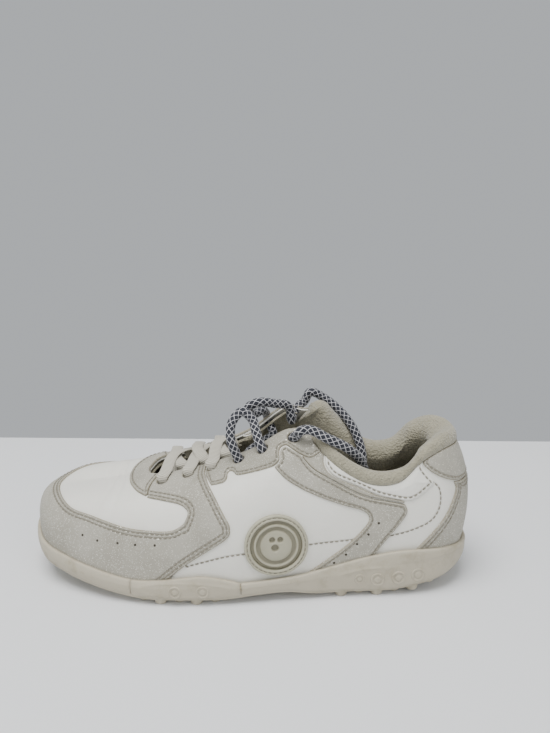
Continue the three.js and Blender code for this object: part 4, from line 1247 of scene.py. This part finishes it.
for label, side in SIDES:
    ring_radii = np.linspace(BADGE["radius"], RING_IN, 26)
    badge_piece(f"badge_ring_{label}_rubber", f"badge_ring_{label}", side, ring_radii, ring_height, True)
    disc_radii = np.linspace(RING_IN - 0.1, 0.1, 66)
    badge_piece(f"badge_disc_{label}_rubber", f"badge_disc_{label}", side, disc_radii, disc_height, False)
    turn = np.linspace(0, 2 * math.pi, 181)
    middle = RING_IN + BADGE["ring"] / 2
    u, v = beside(BADGE["s"] + middle * np.cos(turn), BADGE["z"] + middle * np.sin(turn), side)
    points, faces = joined(stitch_row(layer_point(u, v, 1.85), outward_at(u, v)))
    new_object(f"badge_stitches_{label}", points, faces, THREAD, "badge_rubber")

# ---- Perforations ----
# Small round holes punched through the suede for air: five along each side of the toe and five down
# each chevron. Each is drawn as a shallow dark plug of painted shade, which stands in for the shaded open
# hole.
def surface_beside(s, z, side):
    """The station and height fraction at a place in the side view."""
    miss = np.hypot(ALONG - s, HEIGHT - z) + BEYOND * (side * LAT < 0)
    i, j = np.unravel_index(miss.argmin(), miss.shape)
    us, vs = np.meshgrid(
        GRID_U[i] + np.linspace(-0.05, 0.05, 21), GRID_V[j] + np.linspace(-0.01, 0.01, 21), indexing="ij"
    )
    points = surface_at(us, vs)
    miss = np.hypot(HEEL_X - points[..., 0] - s, points[..., 2] - z)
    best = np.unravel_index(miss.argmin(), miss.shape)
    return us[best], vs[best]


def painted_hole_shade():
    # Painted shade for the inside of a hole punched in leather: a near-black brown, mottled like fibre,
    # with no gloss.
    material, tree, where = start_material("painted_punch_hole_shade")
    fibre = add(tree, "TexNoise", {"Vector": where, "Scale": spacing(0.4)}).outputs["Fac"]
    tint = mixed(tree, fibre, colour("2E2A24"), colour("4A443A"))
    close_material(tree, {"Base Color": tint, "Roughness": 0.95})
    return material


HOLE_SHADE_MATERIAL = painted_hole_shade()
PUNCH_PROFILE = [(0.7, -0.5), (0.75, 0.03), (0.3, 0.04)]  # radius, height
ON_OVERLAY = 1.31
TOE_DOTS = [(188, 34.6), (200, 34), (211, 34), (224, 34), (234, 35.7)]
CHEVRON_DOTS = [(58, 45.5), (64, 39), (70.6, 33.4), (77, 27), (84, 22)]
for label, side in SIDES:
    shapes = []
    for s, z in TOE_DOTS + CHEVRON_DOTS:
        u, v = surface_beside(s, z, side)
        shapes.append(lathe(PUNCH_PROFILE, 12, layer_point(u, v, ON_OVERLAY), outward_at(u, v)))
    points, faces = joined(shapes)
    new_object("perforations_" + label, points, faces, HOLE_SHADE_MATERIAL, "pearl_suede")

# ---- Collar ----
# The collar is foam wrapped in fleece: it rolls over the top edge of the quarters and runs down
# inside the shoe to the lining. Its inner face swells between the top edge and its lower seam.
COLLAR_END = 7.35
COLLAR_HEART = -3.2  # the depth its section shrinks towards at the ends
# Round the section: height fraction, depth, and how far the point stands above the form.
COLLAR_SECTION = [
    (0.938, 0.15), (0.95, 1.4), (0.975, 2.3, 0.4), (1.0, 2.2, 1.6), (1.0, 0.4, 4.2), (1.0, -2.9, 5.2),
    (1.0, -6.2, 4.2), (1.0, -8.8, 1.4), (0.96, -10.2), (0.9, -10.6), (0.8, -9.8), (0.7, -8.4), (0.62, -6.0),
    (0.61, -5.0), (0.75, -4.6), (0.92, -2.2),
]


def taller(u):
    """The inner side's roll stands higher near the throat."""
    return math.exp(-(((u + 6.6) / 0.9) ** 2))


rings = []
for u in np.linspace(-COLLAR_END, COLLAR_END, 260):
    fade = np.clip((COLLAR_END - from_heel(u)) / 0.9, 0.12, 1)
    ring = []
    for row in COLLAR_SECTION:
        v, depth = row[0], row[1]
        rise = row[2] if len(row) > 2 else 0
        low = 0.6 + 0.4 * ahead_of_corner(u)
        v = max(v, low + (v - 0.61) * 0.5)
        if depth < -5:
            depth *= 1 + 0.5 * math.exp(-((u / 1.7) ** 2))
        point = layer_point(u, min(v, 1.0), COLLAR_HEART + (depth - COLLAR_HEART) * (0.45 + 0.55 * fade))
        point[2] += rise * fade * (1 + 0.5 * taller(u))
        ring.append(point)
    ring.append(ring[0])
    rings.append(smooth_line(ring, 3)[:-1])
points, faces = loft(rings)
collar = new_object(
    "collar_fleece", points, faces, FLEECE, "fleece", replaces=["collar_lining", "collar_foam"]
)

# ---- Footbed ----
# A fleece-topped sock, which the foot stands on. It is cut to the insole board and glued over it,
# and it is cupped a little at its edge.
SOCK_INSET = 5.6
SOCK_TOP = 5.6  # above the feather line, like the next
SOCK_UNDER = 2.1
us = np.linspace(0.02, TOE - 0.02, 120)
rings = []
for u in us:
    z = float(rib("foot_z", np.array(u)))
    (left, right), (low_left, low_right) = (
        [feather_point(np.array(w), np.array(-SOCK_INSET), z + rise) for w in (u, -u)]
        for rise in (SOCK_TOP, SOCK_UNDER)
    )
    top = []
    for t in np.linspace(0, 1, 15):
        cup = 0.8 * (2 * t - 1) ** 4 - 0.6
        top.append(left + (right - left) * t + np.array([0, 0, cup]))
    rings.append(np.vstack([top, [low_right], [low_left]]))
points, faces = loft(rings)
new_object("footbed_sock", points, [f[::-1] for f in faces], FLEECE, "fleece", replaces=["footbed"])

# ---- Tongue ----
# A face of grey leather and a lining of fleece, sewn together with foam between them and held at the
# foot of the throat. It swings down into the shoe about that seam.
TONGUE_HINGE = place(194, RIDGE_LAT, 53)
TONGUE_DROP = math.radians(8)


def dropped_tongue(points):
    away = points - TONGUE_HINGE
    c, s = math.cos(TONGUE_DROP), math.sin(TONGUE_DROP)
    turned = np.stack([c * away[:, 0] + s * away[:, 2], away[:, 1], c * away[:, 2] - s * away[:, 0]], -1)
    return turned + TONGUE_HINGE


tongue_runs = [
    [(200, 8), (160, 11.5), (114, 10)],
    [(114, 10), (110, 5), (109, -5), (110, -15), (114, -20)],
    [(114, -20), (160, -22.5), (200, -20)],
    [(200, -20), (200, 8)],
]
tongue_area = inside_of(tongue_runs, "plan")
above_sole = np.where(VV > 0.5, BEYOND, -BEYOND)
for node, depths, material, slot in (
    ("tongue_face", (-9.1, -7.0), GREY_LEATHER, "grey_leather"),
    ("tongue_lining", (-11.2, -9.1), FLEECE, "fleece"),
):
    tongue = panel(
        node + "_pad", [tongue_area, above_sole], depths, material, slot, body="tongue", replaces=[node],
        move=dropped_tongue, ease=2.2, seams=[(0, 3.0)] if node == "tongue_face" else [],
    )


# ---- Flat lace ----
# A flat cotton lace, braided as a tube and pressed, 7.6 mm wide. It is pulled down into the holes by
# its own tension, and crosses the throat in three rows.
def smooth_path(points, count):
    """Centripetal smooth line through points, with its tangents."""
    p = np.array(points, float)
    p = np.vstack([2 * p[0] - p[1], p, 2 * p[-1] - p[-2]])
    knots = np.sqrt(np.maximum(np.linalg.norm(np.diff(p, axis=0), axis=1), 1e-4))
    line = []
    total = len(points) - 1
    for x in np.linspace(0, total - 1e-9, count):
        i = int(x)
        t = x - i
        a, b, c, d = p[i : i + 4]
        h0, h1, h2 = knots[i : i + 3]
        m1 = (b - a) / h0 - (c - a) / (h0 + h1) + (c - b) / h1
        m2 = (c - b) / h1 - (d - b) / (h1 + h2) + (d - c) / h2
        m1, m2 = m1 * h1, m2 * h1
        line.append(
            b + m1 * t + (3 * (c - b) - 2 * m1 - m2) * t * t + (2 * (b - c) + m1 + m2) * t**3
        )
    line = np.array(line)
    return line, unit(np.gradient(line, axis=0))


def braided_cotton():
    # Mercerised cotton braid: ribs run slantwise to both edges, one every 1.1 mm.
    material, tree, _ = start_material("braided_cotton")
    cloth = add(tree, "UVMap", uv_map="lace").outputs["UV"]
    parts = add(tree, "SeparateXYZ", {"Vector": cloth})
    across = add(tree, "Math", {0: parts.outputs["X"], 1: 0.5}, operation="SUBTRACT").outputs[0]
    bend = add(tree, "Math", {0: across}, operation="ABSOLUTE").outputs[0]
    slant = add(tree, "Math", {0: bend, 1: 4.0, 2: parts.outputs["Y"]}, operation="MULTIPLY_ADD").outputs[0]
    ribbing = add(tree, "Math", {0: slant, 1: 2 * math.pi / 1.1}, operation="MULTIPLY").outputs[0]
    wave = add(tree, "Math", {0: ribbing}, operation="SINE").outputs[0]
    height = add(tree, "MapRange", {"Value": wave, "From Min": -1.0}).outputs["Result"]
    tint = mixed(tree, height, colour("A8A395"), colour("C6C1B3"))
    normal = add(tree, "Bump", {"Height": height, "Strength": 0.7, "Distance": 0.3 * MM}).outputs["Normal"]
    close_material(tree, {"Base Color": tint, "Roughness": 0.85, "Normal": normal, "Sheen Weight": 0.15})
    return material


COTTON = braided_cotton()
FLAT_HALF = 3.8
FLAT_HALF_THICK = 0.75
FLAT_STEPS = 620
IN_HOLE = 2.9  # half the width where it bunches in a hole
UNDER = -6.3  # its depth under the leather
THROAT_HALF = 14


def flat_half(first_side, crossing_lift):
    """One end's route: place along the shoe, distance from the ridge, depth, half width."""
    route = []
    side = first_side
    for row, (s, lat) in enumerate(LACE_HOLES):
        reach = lat - RIDGE_LAT
        after = LACE_HOLES[row + 1] if row + 1 < len(LACE_HOLES) else (145, 14)
        route += [
            (s, side * (reach - 3.5), UNDER, 3.0),
            (s, side * (reach - 0.2), -4.6, IN_HOLE),
            (s, side * reach, 0, IN_HOLE),
            (s - 0.3, side * (reach - 1.2), 2.9, 3.7),
            (s - 1.5, side * (reach - 5), 3.4, FLAT_HALF),
            ((s + after[0] + 6) / 2, 0, crossing_lift, FLAT_HALF),
        ]
        side = -side
        route += [
            (after[0] + 6, side * (THROAT_HALF - 4), 2.2, FLAT_HALF),
            (after[0] + 5, side * (THROAT_HALF - 3), -3.6, FLAT_HALF),
            (after[0] + 3.5, side * (THROAT_HALF + 0.2), UNDER, 3.2),
        ]
    return route


def uv_tube(name, rings, lengths, material, slot, replaces):
    """A lofted tube whose map runs once round its section and along it in millimetres."""
    count = len(rings[0])
    points, faces = loft(rings)
    piece = new_object(name, points, faces, material, slot, replaces=replaces)
    layer = piece.data.uv_layers.new(name="lace")
    for face in piece.data.polygons:
        around = [piece.data.loops[k].vertex_index % count for k in face.loop_indices]
        wraps = max(around) - min(around) > count / 2
        for k, spot in zip(face.loop_indices, around):
            row = piece.data.loops[k].vertex_index // count
            turn = spot / count + (1 if wraps and spot < count / 2 else 0)
            layer.data[k].uv = (turn, lengths[row])
    return piece


flat_route = flat_half(-1, 4.9)[::-1] + [(189, 0, UNDER, FLAT_HALF)] + flat_half(1, 7.4)
flat_points = [over_surface(s, RIDGE_LAT + out, depth) for s, out, depth, _ in flat_route]
line, tangents = smooth_path(flat_points, FLAT_STEPS)
at = np.linspace(0, len(flat_route) - 1, FLAT_STEPS)
halves = np.interp(at, range(len(flat_route)), [spot[3] for spot in flat_route])
turn = turns(16)
rings = []
for centre, along, half in zip(line, tangents, halves):
    wide = unit(np.array([1.0, 0, 0]) - along * along[0])
    thick = np.cross(along, wide)
    c, s = np.cos(turn), np.sin(turn)
    round_c = np.sign(c) * np.abs(c) ** 0.8
    rings.append(centre + (round_c * half)[:, None] * wide + (s * FLAT_HALF_THICK)[:, None] * thick)
lengths = distance_along(line)
uv_tube("flat_lace_cotton", rings, lengths, COTTON, "cotton", ["flat_lace"])

# ---- Rope lace ----
# A round 6 mm rope lace: a dark core braided over with white thread in an open diamond net. One run
# passes through three holes of the outer side and two of the inner; both ends hang loose into the shoe.
ROPE_RADIUS = 3.0
NET_REPEAT = 4.0
NET_STRANDS = 5
NET_RISE = 0.25
UNDER_ROPE = -10.4


def netted_rope():
    # Braided polyester: thin white strands cross over a navy body in an open net, five of them each
    # way round the rope, and the net repeats every 4 mm along it.
    material, tree, _ = start_material("netted_polyester_braid")
    cloth = add(tree, "UVMap", uv_map="lace").outputs["UV"]
    parts = add(tree, "SeparateXYZ", {"Vector": cloth})
    strands = []
    for sign in (1, -1):
        along = add(
            tree, "Math", {0: parts.outputs["Y"], 1: sign * 2 * math.pi / NET_REPEAT}, operation="MULTIPLY"
        ).outputs[0]
        both = add(
            tree, "Math", {0: parts.outputs["X"], 1: 2 * NET_STRANDS * math.pi, 2: along},
            operation="MULTIPLY_ADD",
        ).outputs[0]
        wave = add(tree, "Math", {0: both}, operation="COSINE").outputs[0]
        strands.append(
            add(tree, "MapRange", {"Value": wave, "From Min": 0.85, "From Max": 0.95}).outputs["Result"]
        )
    net = add(tree, "Math", {0: strands[0], 1: strands[1]}, operation="MAXIMUM").outputs[0]
    yarn = add(
        tree, "TexNoise", {"Vector": cloth, "Scale": 6.0, "Detail": 3.0, "Roughness": 0.8}
    ).outputs["Fac"]
    body = mixed(tree, yarn, colour("0C0D13"), colour("252834"))
    tint = mixed(tree, net, body, colour("C6C5C8"))
    raised = add(tree, "Math", {0: yarn, 1: 0.25, 2: net}, operation="MULTIPLY_ADD").outputs[0]
    normal = add(tree, "Bump", {"Height": raised, "Strength": 0.9, "Distance": 0.4 * MM}).outputs["Normal"]
    close_material(tree, {"Base Color": tint, "Roughness": 0.8, "Normal": normal, "Sheen Weight": 0.2})
    return material


ROPE = netted_rope()


def through_hole(hole):
    return [over_surface(*hole, 2.5), over_surface(*hole, -5)]


def rope_exit(hole):
    return over_surface(*hole, 4.2) + np.array([2.5, 0, 0])


hole_a, hole_b, hole_c = ROPE_HOLES
_, inner_b, inner_c = INNER_ROPE_HOLES
rope_held = [
    rope_exit(hole_c),
    over_surface(*hole_c, 0),
    over_surface(*hole_c, -5),
    over_surface(hole_c[0] + 5, hole_c[1] - 0.5, UNDER_ROPE),
    over_surface(hole_b[0] - 5, hole_b[1] - 0.5, UNDER_ROPE),
    *through_hole(hole_b)[::-1],
    place(130.5, 13.5, 93),
    place(133.5, 8, 100),
    place(139.5, 7, 104.5),
    place(145.5, 11, 99),
    place(146, 15.5, 89),
    *through_hole(hole_a),
    over_surface(hole_a[0] - 1, hole_a[1] - 5, UNDER_ROPE),
    place(138, -6, 72.5),
    over_surface(inner_b[0] + 3, inner_b[1] + 5, UNDER_ROPE),
    *through_hole(inner_b)[::-1],
    place(129, -17, 98),
    place(135, -8, 98),
    place(137, -3, 104),
    place(130.5, -3, 107.5),
    place(120, -9, 105),
    over_surface(inner_c[0] + 4, inner_c[1] + 10, 0),
    over_surface(inner_c[0] + 0.5, inner_c[1] + 3.5, UNDER_ROPE),
    over_surface(*inner_c, -5),
    over_surface(*inner_c, 0),
    rope_exit(inner_c),
]


def rope_tube(name, points, count, replaces):
    """A length of rope through points: its piece, its centre line and its length."""
    line, tangents = smooth_path(points, count)
    turn = turns(20)
    across = unit(np.cross(tangents[0], [0.3, 1.0, 0.2]))
    lengths = distance_along(line)
    rings = []
    for centre, along, reached in zip(line, tangents, lengths):
        across = unit(across - along * (across @ along))
        third = np.cross(along, across)
        phase = 2 * math.pi * reached / NET_REPEAT
        net = np.maximum(np.cos(NET_STRANDS * turn + phase), np.cos(NET_STRANDS * turn - phase))
        radius = ROPE_RADIUS - NET_RISE + NET_RISE * np.clip(net, 0, 1)
        sideways = (np.cos(turn) * radius)[:, None] * across
        rings.append(centre + sideways + (np.sin(turn) * radius)[:, None] * third)
    return uv_tube(name, rings, lengths, ROPE, "rope", replaces), line, lengths[-1]


rope_tube("rope_lace_braid", rope_held, 420, ["rope_lace"])

OUTER_TAIL = [
    (98, 20.5, 97.5), (88, 22, 93), (76, 19.5, 86), (67, 13, 75), (62, 8, 58), (54, 7, 42),
    (42, 9, 34), (27, 9, 34), (21, 1, 34.5), (29, -7, 34), (42, -9, 32),
]
INNER_TAIL = [
    (98, -30, 107), (89, -31, 103), (77, -26, 94), (68, -19, 82), (64, -12, 68), (66, -8, 50),
    (74, -7, 33), (86, -6, 26), (100, -4, 23), (114, -2, 22), (124, 1, 21.5),
]
AGLET_LENGTH = 14
AGLET_RADIUS = 2.6


def aglet_plastic():
    # Acetate film shrunk round the rope's end: glossy, nearly black, with a soft seam.
    material, tree, where = start_material("heat_shrunk_acetate")
    streak = add(tree, "TexNoise", {"Vector": where, "Scale": spacing(3), "Detail": 3.0}).outputs["Fac"]
    tint = mixed(tree, streak, colour("15161B"), colour("2A2C33"))
    normal = add(tree, "Bump", {"Height": streak, "Strength": 0.15, "Distance": 0.2 * MM}).outputs["Normal"]
    close_material(tree, {"Base Color": tint, "Roughness": 0.25, "Normal": normal, "IOR": 1.48})
    return material


AGLET = aglet_plastic()


def loose_tail(side, end, before, route):
    """A loose end that carries on from the held run, with a tip shrunk over it."""
    along = unit(end - before)
    points = [end + along * 0.1, end + along * 4, *[place(*p) for p in route]]
    tail, line, length = rope_tube("rope_tail_" + side + "_braid", points, 260, ["rope_tail_" + side])
    forward = unit(line[-1] - line[-3])
    profile = [
        (0.3, -0.6), (AGLET_RADIUS - 0.3, -0.5), (AGLET_RADIUS, 0.3), (AGLET_RADIUS, AGLET_LENGTH - 1.5),
        (AGLET_RADIUS - 0.5, AGLET_LENGTH - 0.4), (AGLET_RADIUS - 1.4, AGLET_LENGTH), (0.2, AGLET_LENGTH),
    ]
    shape = lathe(profile, 24, line[-1], forward)
    aglet = new_object(
        "aglet_" + side + "_tip", *shape, AGLET, "aglet_plastic", replaces=["aglet_" + side]
    )


loose_tail("lateral", rope_held[0], rope_held[1], OUTER_TAIL)
loose_tail("medial", rope_held[-1], rope_held[-2], INNER_TAIL)


# ---- Hidden parts ----
# The stiffeners and the insole board are fibreboard, the shank is spring steel and the midsole core is
# foam. They are cemented in between the layers, out of sight, and keep their CAD shapes.
def fibreboard():
    # Cellulose fibreboard: pressed, brown, with short fibres in it.
    material, tree, where = start_material("cellulose_fibreboard")
    fibre = add(
        tree, "TexNoise", {"Vector": where, "Scale": spacing(1.6), "Detail": 6.0, "Distortion": 2.0}
    ).outputs["Fac"]
    tint = mixed(tree, fibre, colour("8E7554"), colour("BFA47C"))
    normal = add(tree, "Bump", {"Height": fibre, "Strength": 0.3, "Distance": 0.2 * MM}).outputs["Normal"]
    close_material(tree, {"Base Color": tint, "Roughness": 0.9, "Normal": normal})
    return material


def rolled_steel():
    # Cold-rolled spring steel strip: long fine lines along the strip.
    material, tree, where = start_material("cold_rolled_steel")
    lines = add(
        tree, "TexWave", {"Vector": where, "Scale": spacing(2), "Distortion": 3.0, "Detail": 3.0},
        bands_direction="Y",
    ).outputs["Fac"]
    rough = add(tree, "MapRange", {"Value": lines, "To Min": 0.28, "To Max": 0.45}).outputs["Result"]
    close_material(tree, {"Base Color": colour("9A9DA1"), "Metallic": 1.0, "Roughness": rough})
    return material


def moulded_foam():
    # Closed-cell EVA foam: a fine skin of cells, pale yellow.
    material, tree, where = start_material("moulded_eva_foam")
    bubbles = add(tree, "TexVoronoi", {"Vector": where, "Scale": spacing(0.8)}).outputs["Distance"]
    tint = mixed(tree, bubbles, colour("D9C98F"), colour("C9B87C"))
    normal = add(tree, "Bump", {"Height": bubbles, "Strength": 0.3, "Distance": 0.2 * MM}).outputs["Normal"]
    close_material(tree, {"Base Color": tint, "Roughness": 0.9, "Normal": normal})
    return material


for make, names in (
    (fibreboard, ["heel_counter", "toe_puff", "insole_board"]),
    (rolled_steel, ["shank"]),
    (moulded_foam, ["midsole_core"]),
):
    material = make()
    for name in names:
        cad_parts[name].data.materials.clear()
        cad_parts[name].data.materials.append(material)

# ---- Floor, light and camera ----
# A sheet of white cotton on a table, in soft daylight, with the pale room beyond its edge. None of it
# is part of the shoe.
def cotton_sheet():
    # Washed plain-weave cotton: matt white, a shade darker in its broad soft waves.
    material, tree, where = start_material("white_cotton_sheet")
    wave = add(tree, "TexNoise", {"Vector": where, "Scale": 4.0, "Detail": 3.0}).outputs["Fac"]
    white = colour("E6E7E8")
    tint = mixed(tree, wave, white, [c * 0.95 for c in white[:3]] + [1])
    normal = add(tree, "Bump", {"Height": wave, "Strength": 0.25, "Distance": 0.02}).outputs["Normal"]
    close_material(tree, {"Base Color": tint, "Roughness": 0.9, "Normal": normal})
    return material


CLOTH_EDGE = 0.235  # metres behind the shoe's middle
mesh = bpy.data.meshes.new("table_cloth")
mesh.from_pydata([(-3, -2, 0), (3, -2, 0), (3, CLOTH_EDGE, 0), (-3, CLOTH_EDGE, 0)], [], [(0, 1, 2, 3)])
mesh.materials.append(cotton_sheet())
cloth = bpy.data.objects.new("table_cloth", mesh)
bpy.context.scene.collection.objects.link(cloth)


def area_light(name, where, toward, size, power):
    data = bpy.data.lights.new(name, "AREA")
    data.shape, data.size, data.energy = "DISK", size, power
    lamp = bpy.data.objects.new(name, data)
    bpy.context.scene.collection.objects.link(lamp)
    lamp.location = where
    lamp.rotation_mode = "QUATERNION"
    lamp.rotation_quaternion = (Vector(toward) - Vector(where)).to_track_quat("-Z", "Y")


area_light("ceiling_light", (-0.2, -0.35, 1.5), (0, 0, 0), 1.0, 28)
area_light("window_light", (1.1, -1.1, 0.9), (0, 0, 0.04), 0.9, 6)
area_light("fill_light", (-1.3, -0.7, 0.6), (0, 0, 0.04), 0.9, 3)
world = bpy.data.worlds.new("room")
bpy.context.scene.world = world
world.use_nodes = True
world.node_tree.nodes["Background"].inputs["Color"].default_value = colour("E6EAEE")
world.node_tree.nodes["Background"].inputs["Strength"].default_value = 0.62

# The camera stands on the outer side, turned and dipped towards the shoe; angles are in radians.
CAMERA_PLACE = (0.04316, -0.35761, 0.2129)
CAMERA_TURN = 0.063
CAMERA_DIP = 0.223
CAMERA_ROLL = 0.014
CAMERA_LENS = 29.47
turn_c, turn_s = math.cos(CAMERA_TURN), math.sin(CAMERA_TURN)
dip_c, dip_s = math.cos(CAMERA_DIP), math.sin(CAMERA_DIP)
right = np.array([turn_c, turn_s, 0])
up = np.array([-turn_s * dip_s, turn_c * dip_s, dip_c])
back = -np.array([-turn_s * dip_c, turn_c * dip_c, -dip_s])
rolled_right = right * math.cos(CAMERA_ROLL) - up * math.sin(CAMERA_ROLL)
rolled_up = right * math.sin(CAMERA_ROLL) + up * math.cos(CAMERA_ROLL)
camera_data = bpy.data.cameras.new("camera")
camera_data.lens = CAMERA_LENS
camera_data.sensor_width = 36
camera_data.clip_start = 0.01
camera = bpy.data.objects.new("camera", camera_data)
bpy.context.scene.collection.objects.link(camera)
axes = np.column_stack([rolled_right, rolled_up, back])
camera.matrix_world = Matrix.Translation(CAMERA_PLACE) @ Matrix(axes.tolist()).to_4x4()
bpy.context.scene.camera = camera
